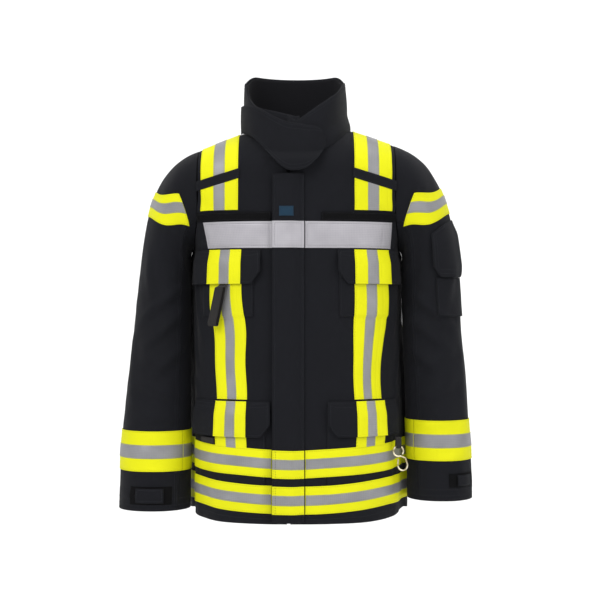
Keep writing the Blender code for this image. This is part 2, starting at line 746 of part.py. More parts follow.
def build_hook():
    """A snap hook on a short webbing tab: one bent bar with an eye and a bowl, and a sprung gate."""
    frame = HOOK
    fold_z = -(EYE_DROP - EYE_R)
    gap = 0.0037
    fold = [placed(frame, 0, gap, -0.001 + (fold_z + 0.001) * step / 3) for step in range(4)]
    for step in range(1, 6):
        turn = pi * step / 6
        fold.append(placed(frame, 0, gap * cos(turn), fold_z - gap * sin(turn)))
    fold += [placed(frame, 0, -gap, fold_z + (-0.001 - fold_z) * step / 3) for step in range(4)]
    strap("hook_tab", "webbing", fold, frame[1], 0.01, 0.001, frame[0])

    bent = []
    for step in range(17):
        turn = mix(0.62, 2 * pi, step / 16)
        bent.append((EYE_R * sin(turn), -EYE_R * cos(turn)))
    bent += [(0.004, -EYE_R - 0.0025), (BOWL_R, -EYE_R - 0.0075)]
    for step in range(11):
        turn = mix(pi / 2, -pi / 2, step / 10)
        bent.append((BOWL_R * sin(turn), -BOWL_DROP - BOWL_R * cos(turn)))
    bent.append((-BOWL_R, -BOWL_DROP + 0.002))
    points = [placed(frame, *tilted(a, c)) for a, c in bent]
    bar("snap_hook", "metal", points, WIRE_R, HOOK_EYE)
    bar("snap_hook_gate", "metal", [placed(frame, *GATE_TOP), placed(frame, *GATE_TIP)], 0.0014, GATE_PIVOT)


GATE_TOP = tilted(-0.0048, -EYE_R - 0.0045)
GATE_TIP = tilted(-0.0088, -BOWL_DROP + 0.0035)

# ---- The coat ------------------------------------------------------------------------------------
for old in list(bpy.data.objects):
    bpy.data.objects.remove(old)

coat = bpy.data.collections.new("turnout_coat")
bpy.context.scene.collection.children.link(coat)

HINGES = find_hinges()
WEBBING = local_frame(WEBBING_X, WEBBING_H, 0.0165)
HOOK = turned_to_front(local_frame(HOOK_X, HOOK_H, 0.0205), 0.8)
HOOK_EYE = placed(HOOK, 0, 0, -EYE_DROP + EYE_R)
GATE_PIVOT = placed(HOOK, *GATE_TOP)
SLIDER_AT = body(girth_at(ZIP_X, SLIDER_H), SLIDER_H, 0.0047)
PULL_PIVOT = body(girth_at(ZIP_X, SLIDER_H), SLIDER_H, 0.0068) + Vector((0, 0, -0.004))
LABEL_AT = body(girth_at(LABEL_X, LABEL_H), LABEL_H, FLAP_LIFT + FLAP + 0.0016)

build_shell()
build_collar()
build_closure()
build_pockets()
build_trim()
build_loops()
build_hook()
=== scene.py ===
from math import cos, pi, sin

import bpy
import numpy as np
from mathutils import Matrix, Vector


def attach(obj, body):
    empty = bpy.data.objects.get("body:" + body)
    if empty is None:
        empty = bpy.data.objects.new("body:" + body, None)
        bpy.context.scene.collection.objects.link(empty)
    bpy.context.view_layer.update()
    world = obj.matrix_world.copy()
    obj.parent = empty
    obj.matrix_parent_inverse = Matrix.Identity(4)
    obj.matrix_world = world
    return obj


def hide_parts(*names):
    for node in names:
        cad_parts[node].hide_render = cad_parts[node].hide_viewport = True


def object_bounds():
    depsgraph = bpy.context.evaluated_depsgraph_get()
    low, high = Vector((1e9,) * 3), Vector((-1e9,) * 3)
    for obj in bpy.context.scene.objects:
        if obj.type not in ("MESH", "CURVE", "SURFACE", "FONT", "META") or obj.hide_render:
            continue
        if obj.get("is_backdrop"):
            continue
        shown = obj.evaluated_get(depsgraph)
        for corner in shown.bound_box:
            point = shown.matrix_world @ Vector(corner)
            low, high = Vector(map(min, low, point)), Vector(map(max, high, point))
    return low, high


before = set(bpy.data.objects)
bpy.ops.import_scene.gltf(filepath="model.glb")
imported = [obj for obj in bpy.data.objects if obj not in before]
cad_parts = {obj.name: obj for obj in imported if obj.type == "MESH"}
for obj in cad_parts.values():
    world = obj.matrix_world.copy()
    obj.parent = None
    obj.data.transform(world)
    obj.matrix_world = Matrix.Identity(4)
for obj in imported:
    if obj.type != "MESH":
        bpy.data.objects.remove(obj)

CAD_BOX = [list(corner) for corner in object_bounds()]
SCENE = bpy.context.scene
SIDES = {"right": -1, "left": 1}  # the wearer's sides: the left is +X

# ---- The coat's dimensions ------------------------------
SEAM_Y = -0.0825
NECK_DROP = -0.02
HALF_WIDTH = 0.193
SHOULDER_FLARE = 0.058
FRONT_DEPTH = 0.133
BACK_DEPTH = 0.122
DEPTH_FLARE = 0.0217
BOXINESS = 0.78
HEM_H = -0.725
HEM_SWEEP = 0.012
ARMPIT_H = -0.222
CHEST_H = -0.076
RIDGE_RISE = 0.117
RIDGE_ARC = 0.2
TOP_H = CHEST_H + RIDGE_ARC
RIDGE_GAP = 0.0011
SHOULDER_SLOPES = {"right": 0.41, "left": 0.35}
SLOPE_START = -0.15
ARMHOLE_X = 0.183
NECK_HALF = 0.098
NECK_FRONT_H = -0.043
NECK_BACK_H = 0.016
COLLAR_START = 0.07
COLLAR_SWEEP = 6.51
COLLAR_OVERLAP = 0.0075
COLLAR_LEAN = 0.0085
SLEEVE_TURN_Z = -0.262
SLEEVE_DEPTH = 0.074
CUFF_DEPTH = 0.066
SLEEVE_RADIUS = 0.066  # turns round a sleeve to metres of its cloth
CAP_LENGTH = 0.17
SLEEVE_FORWARD = -0.018
CUFF_Z = {"right": -0.711, "left": -0.692}
CUFF_INNER = {"right": 0.2015, "left": 0.211}
SLEEVE_OUTER = {
    "right": ((-0.262, 0.2985), (-0.317, 0.3053), (-0.482, 0.3235), (-0.6, 0.334), (-0.72, 0.3385)),
    "left": ((-0.262, 0.309), (-0.375, 0.3158), (-0.463, 0.3235), (-0.6, 0.3315), (-0.72, 0.335)),
}

SHELL = 0.0024
LINER_DEEP = 0.0112
TAPE = 0.0011
FLAP = 0.0024
LOW = 0.0006  # lift of what is sewn straight on the shell
STITCH = 0.0004
STITCH_LIFT = 0.0002
GROOVE = 0.0009  # half the width of the dent along a row of stitching

ZIP_X = -0.014
STORM_X = (-0.043, 0.0145)
STORM_H = (-0.722, -0.085)
CHEST_BAND_H = (-0.222, -0.173)
UPPER_HEM_H = (-0.6415, -0.591)
LOWER_HEM_H = (-0.7065, -0.656)
QUARTER = 0.262  # metres of cloth from the front centre to a side seam


# ---- Surfaces ----------------------------------------------------------------
def mix(a, b, t):
    return a + (b - a) * t


def smooth(t):
    t = np.clip(t, 0, 1)
    return t * t * (3 - 2 * t)


def half_width(h):
    return HALF_WIDTH + SHOULDER_FLARE * smooth((h - ARMPIT_H) / 0.15)


def girth_at(x, h):
    """The girth coordinate on the front: 0 at its centre, 1 at the left side seam, 2 at the back's centre."""
    x, h = np.broadcast_arrays(np.asarray(x, float), np.asarray(h, float))
    angle = np.arcsin(np.minimum(1, (np.abs(x) / half_width(h)) ** (1 / BOXINESS))) * 2 / pi
    ratio = (angle / np.maximum(1 - angle, 1e-9)) ** BOXINESS
    return np.where(x > 0, 1, -1) * ratio / (1 + ratio)


def shoulder_slope(x, h):
    steepest = np.where(x > 0, SHOULDER_SLOPES["left"], SHOULDER_SLOPES["right"])
    return steepest * smooth((h - SLOPE_START) / (TOP_H - SLOPE_START))


def bare_body(g, h):
    g = (g + 2) % 4 - 2
    turn = np.where(np.abs(g) > 1, 2 - np.abs(g), np.abs(g))
    near = turn ** (1 / BOXINESS)
    far = (1 - turn) ** (1 / BOXINESS)
    angle = pi / 2 * near / (near + far)
    rise = np.maximum(0, h - CHEST_H) / RIDGE_ARC * pi / 2
    depth = np.where(np.abs(g) <= 1, FRONT_DEPTH, BACK_DEPTH)
    depth = np.where(rise > 0, depth * np.cos(rise), depth + DEPTH_FLARE * (CHEST_H - h))
    height = np.where(rise > 0, CHEST_H + RIDGE_RISE * np.sin(rise), h)
    arc = mix(smooth(turn / 0.75), turn**3, smooth((-0.7 - h) / 0.025))
    height = height + HEM_SWEEP * smooth((-0.56 - h) / 0.035) * arc
    x = half_width(h) * np.sin(angle) ** BOXINESS * np.where(g > 0, 1, -1)
    y = depth * np.maximum(0, np.cos(angle)) ** BOXINESS * np.where(np.abs(g) <= 1, -1, 1)
    return np.stack([x, y + SEAM_Y, height - shoulder_slope(x, h) * np.abs(x) + NECK_DROP], -1)


def unit(v):
    return v / np.maximum(np.linalg.norm(v, axis=-1, keepdims=True), 1e-12)


def body_normal(g, h):
    across = bare_body(g + 0.004, h) - bare_body(g - 0.004, h)
    along = bare_body(g, h + 0.001) - bare_body(g, h - 0.001)
    return unit(np.cross(across, along))


def crease(s, h, start, end, width, height, skew=0.0):
    """A fold from start to end in the cloth's own metres, that fades at both ends."""
    along = np.array(end, float) - np.array(start, float)
    length = np.hypot(*along)
    along = along / length
    t = ((s - start[0]) * along[0] + (h - start[1]) * along[1]) / length
    off = (s - start[0]) * -along[1] + (h - start[1]) * along[0]
    off = off + skew * width * np.sin(t * pi)
    fade = smooth(t / 0.35 + 0.05) * smooth((1 - t) / 0.35 + 0.05)
    ridge = np.exp(-((off / width) ** 2)) - 0.55 * np.exp(-(((off - 1.5 * width) / (1.1 * width)) ** 2))
    return height * fade * ridge


def ripple(s, h, seed, count, across, along, height):
    """A sum of long soft waves: across and along are the wave lengths in metres."""
    rng = np.random.default_rng(seed)
    total = 0
    for _ in range(count):
        kx = 2 * pi / across * rng.uniform(0.5, 1.6) * rng.choice([-1, 1])
        kh = 2 * pi / along * rng.uniform(0.4, 1.5)
        total = total + np.sin(kx * s + kh * h + rng.uniform(0, 2 * pi)) * rng.uniform(0.4, 1)
    return height * total / np.sqrt(count)


BODY_CREASES = (
    ((-0.235, -0.24), (-0.15, -0.42), 0.011, 0.0032),
    ((-0.25, -0.30), (-0.19, -0.47), 0.010, 0.0026),
    ((0.24, -0.25), (0.17, -0.40), 0.011, 0.0030),
    ((0.25, -0.33), (0.19, -0.50), 0.010, 0.0028),
    ((-0.085, -0.31), (-0.07, -0.49), 0.010, 0.0018),
    ((0.075, -0.29), (0.068, -0.48), 0.011, 0.0018),
    ((-0.17, -0.09), (-0.13, -0.18), 0.012, 0.0020),
    ((0.17, -0.08), (0.13, -0.17), 0.012, 0.0020),
    ((0.05, -0.10), (0.09, -0.16), 0.014, 0.0014),
    ((-0.05, -0.11), (-0.10, -0.17), 0.012, 0.0012),
    ((-0.26, -0.45), (-0.17, -0.49), 0.009, 0.0022),
    ((0.26, -0.47), (0.18, -0.50), 0.009, 0.0020),
    ((0.44, -0.12), (0.30, -0.32), 0.012, 0.0034),
    ((-0.44, -0.12), (-0.30, -0.32), 0.012, 0.0034),
    ((0.40, -0.24), (0.52, -0.52), 0.016, 0.0030),
    ((-0.38, -0.26), (-0.46, -0.56), 0.016, 0.0030),
    ((0.30, -0.38), (0.42, -0.50), 0.011, 0.0026),
    ((-0.30, -0.36), (-0.44, -0.47), 0.011, 0.0026),
)


def body_fold(g, h):
    """How far the worn cloth stands off its smooth shape."""
    g = (g + 2) % 4 - 2
    s = g * QUARTER
    total = np.zeros(np.broadcast(g, h).shape)
    for start, end, width, height in BODY_CREASES:
        total = total + crease(s, h, start, end, width, height)
    fullness = smooth((-0.16 - h) / 0.25) * (0.35 + 0.65 * smooth((np.abs(g) - 0.12) / 0.2))
    wave = ripple(np.cos(g * pi / 2) * 0.5, h, 5, 5, 0.35, 1.2, 0.0016)
    wave = wave + ripple(s, h, 9, 6, 0.11, 0.9, 0.0011)
    fine = ripple(s, h, 21, 8, 0.045, 0.06, 0.00022)
    low = smooth((-0.3 - h) / 0.28) * (g > 0)
    spread = (np.abs(g) - mix(1.21, 1.13, low)) / mix(0.16, 0.2, low)
    drape = mix(0.0155, 0.0205, low) * np.exp(-(spread**2)) * smooth((-0.2 - h) / 0.035)
    calm = smooth((TOP_H - 0.02 - h) / 0.12)
    return (total + wave * fullness + fine) * calm + drape


def body(g, h, lift=0.0):
    g, h = np.broadcast_arrays(np.asarray(g, float), np.asarray(h, float))
    h = np.minimum(h, TOP_H - RIDGE_GAP)
    out = np.asarray(lift) + body_fold(g, h)
    return bare_body(g, h) + body_normal(g, h) * out[..., None]


def armhole_girth(h, back=False):
    wide = mix(HALF_WIDTH, ARMHOLE_X, smooth((h - ARMPIT_H) / 0.07))
    g = girth_at(np.minimum(wide, half_width(h)), h)
    g = np.where(h <= ARMPIT_H, 1.0, g)
    return 2 - g if back else g


def neck_height(x, back=False):
    low = NECK_BACK_H if back else NECK_FRONT_H
    bow = np.sqrt(np.clip(1 - (np.asarray(x) / NECK_HALF) ** 2, 0, 1))
    return mix(TOP_H, low, bow)


def sleeve_section(side, name, z):
    fall = smooth((SLEEVE_TURN_Z - z) / (SLEEVE_TURN_Z - CUFF_Z[name]))
    heights = [-place[0] for place in SLEEVE_OUTER[name]]
    outer = np.interp(-z, heights, [place[1] for place in SLEEVE_OUTER[name]])
    inner = mix(0.2015, CUFF_INNER[name], fall)
    middle = side * (outer + inner) / 2
    centre = np.stack([middle, SEAM_Y + SLEEVE_FORWARD * fall, z + NECK_DROP + 0 * fall], -1)
    return centre, (outer - inner) / 2, mix(SLEEVE_DEPTH, CUFF_DEPTH, fall)


def bare_sleeve(name, turn, s):
    """The sleeve: s from 0 at the armhole to 1 at the armpit's level, and to 2 at the cuff."""
    side = SIDES[name]
    z = np.where(s <= 1, SLEEVE_TURN_Z, mix(SLEEVE_TURN_Z, CUFF_Z[name], s - 1))
    centre, half, depth = sleeve_section(side, name, z)
    ring = centre + np.stack([side * half * np.cos(turn), -depth * np.sin(turn), 0 * turn], -1)
    middle = (TOP_H + ARMPIT_H) / 2
    h = middle + (TOP_H - ARMPIT_H) / 2 * np.cos(turn)
    h = np.minimum(h, TOP_H - RIDGE_GAP)
    g = np.where(np.sin(turn) < 0, armhole_girth(h, True), armhole_girth(h))
    start = bare_body(side * g, h) + np.array([side * 0.0012, 0, 0])
    reach = np.linalg.norm(ring - start, axis=-1, keepdims=True)
    leave = np.array([side, 0, -0.33]) * 0.95 * reach
    arrive = np.array([side * 0.1, 0, -1]) * mix(1.0, 1.6, (1 + np.cos(turn)) / 2)[..., None] * reach
    t = np.clip(s, 0, 1)[..., None]
    t2 = t * t
    t3 = t2 * t
    cap = start * (2 * t3 - 3 * t2 + 1) + leave * (t3 - 2 * t2 + t)
    cap = cap + ring * (3 * t2 - 2 * t3) + arrive * (t3 - t2)
    return np.where((s >= 1)[..., None], ring, cap)


# Folds of a sleeve: turns from the outer edge towards the front, and metres below the armpit's level.
SLEEVE_CREASES = (
    ((2.6, -0.02), (0.6, -0.10), 0.010, 0.0045),
    ((2.7, -0.06), (1.0, -0.15), 0.010, 0.0036),
    ((2.9, -0.12), (1.3, -0.20), 0.011, 0.0034),
    ((2.7, -0.19), (0.9, -0.16), 0.010, 0.0030),
    ((2.6, -0.24), (0.7, -0.21), 0.011, 0.0034),
    ((2.5, -0.28), (0.9, -0.27), 0.010, 0.0026),
    ((0.3, -0.10), (0.9, -0.28), 0.014, 0.0022),
    ((0.8, 0.03), (1.4, -0.08), 0.012, 0.0028),
    ((2.2, 0.05), (2.9, -0.04), 0.010, 0.0030),
    ((-2.4, -0.03), (-0.8, -0.10), 0.011, 0.0040),
    ((-2.6, -0.14), (-1.0, -0.18), 0.010, 0.0036),
    ((-2.5, -0.20), (-0.9, -0.23), 0.010, 0.0040),
    ((-2.6, -0.26), (-0.8, -0.27), 0.010, 0.0030),
    ((1.0, -0.33), (2.2, -0.36), 0.010, 0.0020),
    ((0.2, -0.415), (1.6, -0.425), 0.007, 0.0018),
)


def sleeve_fold(name, turn, s):
    turn = (turn + pi) % (2 * pi) - pi
    down = np.where(s <= 1, (1 - s) * CAP_LENGTH, (1 - s) * (SLEEVE_TURN_Z - CUFF_Z[name]))
    shift = 0.0 if name == "right" else 0.17
    total = np.zeros(np.broadcast(turn, s).shape)
    for i, (start, end, width, height) in enumerate(SLEEVE_CREASES):
        slide = shift * sin(2.4 * i)
        a = ((start[0] + slide) * SLEEVE_RADIUS, start[1] - 0.08 * shift)
        b = ((end[0] - slide) * SLEEVE_RADIUS, end[1] - 0.1 * shift * cos(i))
        total = total + crease(turn * SLEEVE_RADIUS, down, a, b, width, height)
    seed = 3 if name == "right" else 4
    wave = ripple(turn * SLEEVE_RADIUS, down, seed, 6, 0.09, 0.3, 0.0011)
    fine = ripple(turn * SLEEVE_RADIUS, down, seed + 30, 8, 0.05, 0.05, 0.00025)
    wrap = smooth((pi - np.abs(turn)) / 0.5)
    edges = smooth(s / 0.35) * (0.35 + 0.65 * smooth((2 - s) / 0.1))
    inner = 1 - 0.75 * smooth((np.abs(turn) - 2.2) / 0.6)
    return (total * inner + wave * wrap * inner + fine * wrap) * edges


def sleeve(name, turn, s, lift=0.0):
    turn, s = np.broadcast_arrays(np.asarray(turn, float), np.asarray(s, float))
    at = np.clip(s, 0.004, 1.996)
    across = bare_sleeve(name, turn + 0.01, at) - bare_sleeve(name, turn - 0.01, at)
    along = bare_sleeve(name, turn, at + 0.004) - bare_sleeve(name, turn, at - 0.004)
    normal = unit(np.cross(across, along)) * SIDES[name]
    out = np.asarray(lift) + sleeve_fold(name, turn, s)
    return bare_sleeve(name, turn, s) + normal * out[..., None]


def sleeve_s(name, z):
    return 1 + (SLEEVE_TURN_Z - z) / (SLEEVE_TURN_Z - CUFF_Z[name])


def collar(wrap, rise, lift=0.0):
    """The standing collar: wrap 0 at its right end, 1 at its left end, which crosses over it at the front."""
    wrap, rise = np.broadcast_arrays(np.asarray(wrap, float), np.asarray(rise, float))
    turn = COLLAR_START - COLLAR_SWEEP * wrap
    x = NECK_HALF * np.sin(turn)
    back = np.cos(turn) < 0
    height = np.where(back, neck_height(x, True), neck_height(x))
    g = girth_at(x, height)
    low = bare_body(np.where(back, 2 - g, g), np.minimum(height, TOP_H - 0.001))
    low[..., 2] += 0.0015
    aside = np.where(back, 1, np.abs(np.sin(turn)))
    right = wrap < 0.5
    top = np.where(right, mix(0.0215, 0.0435, aside), mix(0.012, 0.078, aside))
    top = top + (0.098 - np.where(right, 0.0435, 0.078)) * aside**10 + 0.021 * smooth(-np.cos(turn) * 1.6)
    lean = np.where(back, -0.004, mix(np.where(right, 0.018, 0.015), 0.0, aside))
    high = np.stack([low[..., 0] * 0.985, low[..., 1] + lean, top + NECK_DROP], -1)
    wave = ripple(wrap * 0.6, rise * 0.1, 12, 5, 0.16, 0.2, 0.0009)
    bulge = 0.0022 * np.sin(pi * rise) + wave * smooth(rise / 0.3)
    out = COLLAR_OVERLAP * wrap + np.asarray(lift) + bulge
    away = np.stack([np.sin(turn), -np.cos(turn), 0 * turn], -1) * out[..., None]
    away[..., 0] -= COLLAR_LEAN * np.maximum(0, np.sin(turn)) * smooth(rise / 0.35)
    return low * (1 - rise[..., None]) + high * rise[..., None] + away


def body_depth(x, z):
    """How far the front stands before the side seams at x and z."""
    h = z + 0 * x
    for _ in range(12):
        height = z + shoulder_slope(x, h) * np.abs(x)
        curve = CHEST_H + RIDGE_ARC * np.arcsin(np.clip((height - CHEST_H) / RIDGE_RISE, 0, 1)) * 2 / pi
        h = np.where(height <= CHEST_H, height, curve)
    depth = SEAM_Y - bare_body(girth_at(x, h), h)[..., 1]
    return np.where(height >= CHEST_H + RIDGE_RISE, 0, depth)


# ---- Materials ---------------------------------------------------------------
def new_material(name, colour, roughness, metallic=0.0, sheen=0.0):
    mat = bpy.data.materials.new(name)
    mat.use_nodes = True
    shader = mat.node_tree.nodes["Principled BSDF"]
    shader.inputs["Base Color"].default_value = (*colour, 1)
    shader.inputs["Roughness"].default_value = roughness
    shader.inputs["Metallic"].default_value = metallic
    shader.inputs["Sheen Weight"].default_value = sheen
    shader.inputs["Sheen Roughness"].default_value = 0.45
    shader.inputs["Specular IOR Level"].default_value = 0.1
    return mat, mat.node_tree, shader


def add(tree, kind, **values):
    """A node with its properties or inputs set by name."""
    node = tree.nodes.new(kind)
    for key, value in values.items():
        if key in node.inputs:
            node.inputs[key].default_value = value
        else:
            setattr(node, key, value)
    return node


def coordinates(tree, kind, scale, turn=0.0):
    """UV is in metres along the cloth, Object in metres of the coat."""
    source = tree.nodes.new("ShaderNodeTexCoord")
    mapping = add(tree, "ShaderNodeMapping", Scale=scale, Rotation=(0, 0, turn))
    tree.links.new(source.outputs[kind], mapping.inputs["Vector"])
    return mapping.outputs["Vector"]


def noise(tree, scale, detail=3.0, kind="Object", stretch=(1, 1, 1)):
    node = add(tree, "ShaderNodeTexNoise", Scale=scale, Detail=detail)
    tree.links.new(coordinates(tree, kind, stretch), node.inputs["Vector"])
    return node.outputs["Fac"]


def wave(tree, period, turn, distortion=0.4):
    """Ribs across the cloth's own plane, this far apart in metres."""
    node = add(tree, "ShaderNodeTexWave", Scale=pi / 10 / period, Distortion=distortion, Detail=1.0)
    tree.links.new(coordinates(tree, "UV", (1, 1, 0), turn), node.inputs["Vector"])
    return node.outputs["Fac"]


def math(tree, operation, a, b):
    node = add(tree, "ShaderNodeMath", operation=operation)
    for socket, value in zip(node.inputs, (a, b)):
        if isinstance(value, (int, float)):
            socket.default_value = value
        else:
            tree.links.new(value, socket)
    return node.outputs[0]


def weighted(tree, *terms):
    """The sum of sockets, each followed by its weight."""
    total = None
    for value, weight in zip(terms[::2], terms[1::2]):
        part = value if weight == 1 else math(tree, "MULTIPLY", value, weight)
        total = part if total is None else math(tree, "ADD", total, part)
    return total


def ramp(tree, value, dark, light, low=0.3, high=0.7):
    node = tree.nodes.new("ShaderNodeValToRGB")
    node.color_ramp.elements[0].position = low
    node.color_ramp.elements[1].position = high
    node.color_ramp.elements[0].color = (*dark, 1)
    node.color_ramp.elements[1].color = (*light, 1)
    tree.links.new(value, node.inputs["Fac"])
    return node.outputs["Color"]


def between(tree, value, low, high):
    node = add(tree, "ShaderNodeMapRange")
    node.inputs["To Min"].default_value = low
    node.inputs["To Max"].default_value = high
    tree.links.new(value, node.inputs["Value"])
    return node.outputs["Result"]


def finish_cloth(tree, shader, colour, height, rough, depth, strength=0.6):
    bump = add(tree, "ShaderNodeBump", Strength=strength, Distance=depth)
    tree.links.new(height, bump.inputs["Height"])
    tree.links.new(bump.outputs["Normal"], shader.inputs["Normal"])
    tree.links.new(colour, shader.inputs["Base Color"])
    tree.links.new(rough, shader.inputs["Roughness"])


def twill(name, dark, light, period=0.0011, sheen=0.03, roughness=(0.72, 0.95)):
    """A twill: fine diagonal ribs, lint, and slow changes of shade where the cloth is worn."""
    mat, tree, shader = new_material(name, light, 0.85, sheen=sheen)
    ribs = wave(tree, period, 0.9)
    warp = wave(tree, period * 0.8, -0.25, 0.2)
    weave = weighted(tree, ribs, 0.65, warp, 0.35)
    worn = noise(tree, 9.0, 4.0)
    lint = noise(tree, 900.0, 2.0)
    shade = weighted(tree, weave, 0.45, worn, 0.4, lint, 0.2)
    colour = ramp(tree, shade, dark, light, 0.25, 0.85)
    height = weighted(tree, weave, 1, lint, 0.5)
    finish_cloth(tree, shader, colour, height, between(tree, worn, *roughness), 0.00025)
    return mat


def lime_tape():
    """Fluorescent woven tape, with a faint painted glow: a small emission stands in for its fluorescence and
    shines whatever light falls on it.
    """
    mat, tree, shader = new_material("lime_tape", (0.6, 0.6, 0.004), 0.6)
    weave = math(tree, "MULTIPLY", wave(tree, 0.0009, 0), wave(tree, 0.0009, pi / 2))
    soil = noise(tree, 14.0, 5.0)
    shade = weighted(tree, weave, 0.3, soil, 0.7)
    colour = ramp(tree, shade, (0.50, 0.495, 0.004), (0.60, 0.59, 0.006), 0.2, 0.6)
    finish_cloth(tree, shader, colour, weave, between(tree, soil, 0.5, 0.72), 0.0002, 0.5)
    # Painted glow: this emission lights the tape on its own, standing in for fluorescence.
    shader.inputs["Emission Color"].default_value = (0.78, 0.9, 0.0, 1)
    shader.inputs["Emission Strength"].default_value = 0.06
    return mat


def silver_tape(name, dark, light):
    """Retroreflective cloth: glass beads on a grey ground, with a faint pressed grid."""
    mat, tree, shader = new_material(name, light, 0.45, metallic=0.25)
    beads = add(tree, "ShaderNodeTexVoronoi", Scale=2600.0)
    tree.links.new(coordinates(tree, "Object", (1, 1, 1)), beads.inputs["Vector"])
    grid = math(tree, "MAXIMUM", wave(tree, 0.0032, 0, 0.1), wave(tree, 0.0032, pi / 2, 0.1))
    rub = noise(tree, 22.0, 5.0)
    shade = weighted(tree, rub, 0.7, grid, 0.25)
    colour = ramp(tree, shade, dark, light, 0.3, 0.8)
    height = weighted(tree, beads.outputs["Distance"], 0.5, grid, 1)
    finish_cloth(tree, shader, colour, height, between(tree, rub, 0.36, 0.55), 0.00012, 0.5)
    return mat


def loop_pile():
    mat, tree, shader = new_material("loop_pile", (0.002, 0.002, 0.002), 0.95)
    loops = add(tree, "ShaderNodeTexVoronoi", Scale=950.0)
    tree.links.new(coordinates(tree, "Object", (1, 1, 1)), loops.inputs["Vector"])
    fuzz = noise(tree, 1600.0, 4.0)
    height = math(tree, "ADD", loops.outputs["Distance"], fuzz)
    colour = ramp(tree, height, (0.0005, 0.0005, 0.0006), (0.003, 0.003, 0.0035), 0.4, 1.0)
    finish_cloth(tree, shader, colour, height, between(tree, fuzz, 0.85, 1.0), 0.0009, 0.9)
    return mat


def webbing(name, dark, light):
    """Narrow webbing: a herringbone of two crossed ribs."""
    mat, tree, shader = new_material(name, light, 0.8, sheen=0.06)
    bone = math(tree, "MAXIMUM", wave(tree, 0.0014, 0.75, 0.1), wave(tree, 0.0014, -0.75, 0.1))
    fluff = noise(tree, 700.0, 3.0)
    shade = weighted(tree, bone, 0.6, fluff, 0.4)
    colour = ramp(tree, shade, dark, light, 0.3, 0.9)
    finish_cloth(tree, shader, colour, bone, between(tree, fluff, 0.7, 0.95), 0.0004, 0.8)
    return mat


def metal(name, dark, light, roughness):
    """Plated metal with rubbed edges and fine scratches."""
    mat, tree, shader = new_material(name, light, 0.3, metallic=1.0)
    shader.inputs["Specular IOR Level"].default_value = 0.5
    rub = noise(tree, 160.0, 6.0)
    scratch = noise(tree, 900.0, 2.0, "Object", (1, 1, 0.12))
    edge = tree.nodes.new("ShaderNodeNewGeometry").outputs["Pointiness"]
    worn = weighted(tree, rub, 0.8, edge, 0.4)
    colour = ramp(tree, worn, dark, light, 0.45, 0.7)
    finish_cloth(tree, shader, colour, scratch, between(tree, rub, *roughness), 0.00005, 0.4)
    return mat


LOOKS = {
    "shell": twill("navy_shell", (0.0038, 0.0040, 0.0054), (0.0088, 0.0093, 0.0122)),
    "liner": twill("quilted_liner", (0.0035, 0.0035, 0.0045), (0.0085, 0.0085, 0.0105), 0.0016),
    "lime": lime_tape(),
    "silver": silver_tape("silver_tape", (0.175, 0.175, 0.18), (0.26, 0.26, 0.268)),
    "bright_silver": silver_tape("bright_silver_tape", (0.275, 0.267, 0.287), (0.385, 0.374, 0.40)),
    "loop": loop_pile(),
    "webbing": webbing("grey_webbing", (0.009, 0.009, 0.009), (0.03, 0.0275, 0.027)),
    "zip_tape": twill("zip_tape_cloth", (0.004, 0.004, 0.005), (0.012, 0.012, 0.013), 0.0009),
    "teeth": metal("zip_teeth", (0.1, 0.1, 0.1), (0.28, 0.28, 0.27), (0.3, 0.5)),
    "hook": metal("hook_plating", (0.25, 0.19, 0.09), (0.72, 0.66, 0.5), (0.2, 0.42)),
    "label": webbing("label_weave", (0.006, 0.018, 0.034), (0.014, 0.04, 0.07)),
    "navy_thread": twill("navy_thread", (0.013, 0.014, 0.018), (0.032, 0.034, 0.040), 0.0006),
    "lime_thread": twill("lime_thread", (0.38, 0.39, 0.01), (0.52, 0.53, 0.02), 0.0006),
    "silver_thread": twill("silver_thread", (0.17, 0.17, 0.18), (0.28, 0.28, 0.29), 0.0006),
}


# ---- Meshes ------------------------------------------------------------------
def new_piece(name, vertices, faces, look, body_name, stands_for=(), uvs=None):
    """An object from arrays of points and of faces, on its body and in place of its CAD nodes."""
    mesh = bpy.data.meshes.new(name)
    mesh.from_pydata(vertices.reshape(-1, 3).tolist(), [], faces.tolist())
    if uvs is not None:
        layer = mesh.uv_layers.new(name="cloth")
        corners = np.array([loop.vertex_index for loop in mesh.loops])
        layer.data.foreach_set("uv", uvs[corners].astype(np.float32).ravel())
    mesh.shade_smooth()
    mesh.materials.append(LOOKS[look])
    obj = bpy.data.objects.new(name, mesh)
    SCENE.collection.objects.link(obj)
    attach(obj, body_name)
    if stands_for:
        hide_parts(*stands_for)
    return obj


def places(length, step, rows=()):
    """Grid places from 0 to 1 along a length: close together at its ends and beside each row of stitching."""
    near = {0.0, 0.0006, length - 0.0006, length}
    for row in rows:
        near |= {row - 0.0012, row, row + 0.0012}
    near = sorted(p for p in near if 0 <= p <= length)
    even = np.linspace(0, length, max(2, round(length / step)) + 1)
    kept = [p for p in even if min(abs(p - n) for n in near) > 0.0009]
    return np.array(sorted(near + kept)) / length


def path_length(points):
    return float(np.linalg.norm(np.diff(points, axis=0), axis=1).sum())


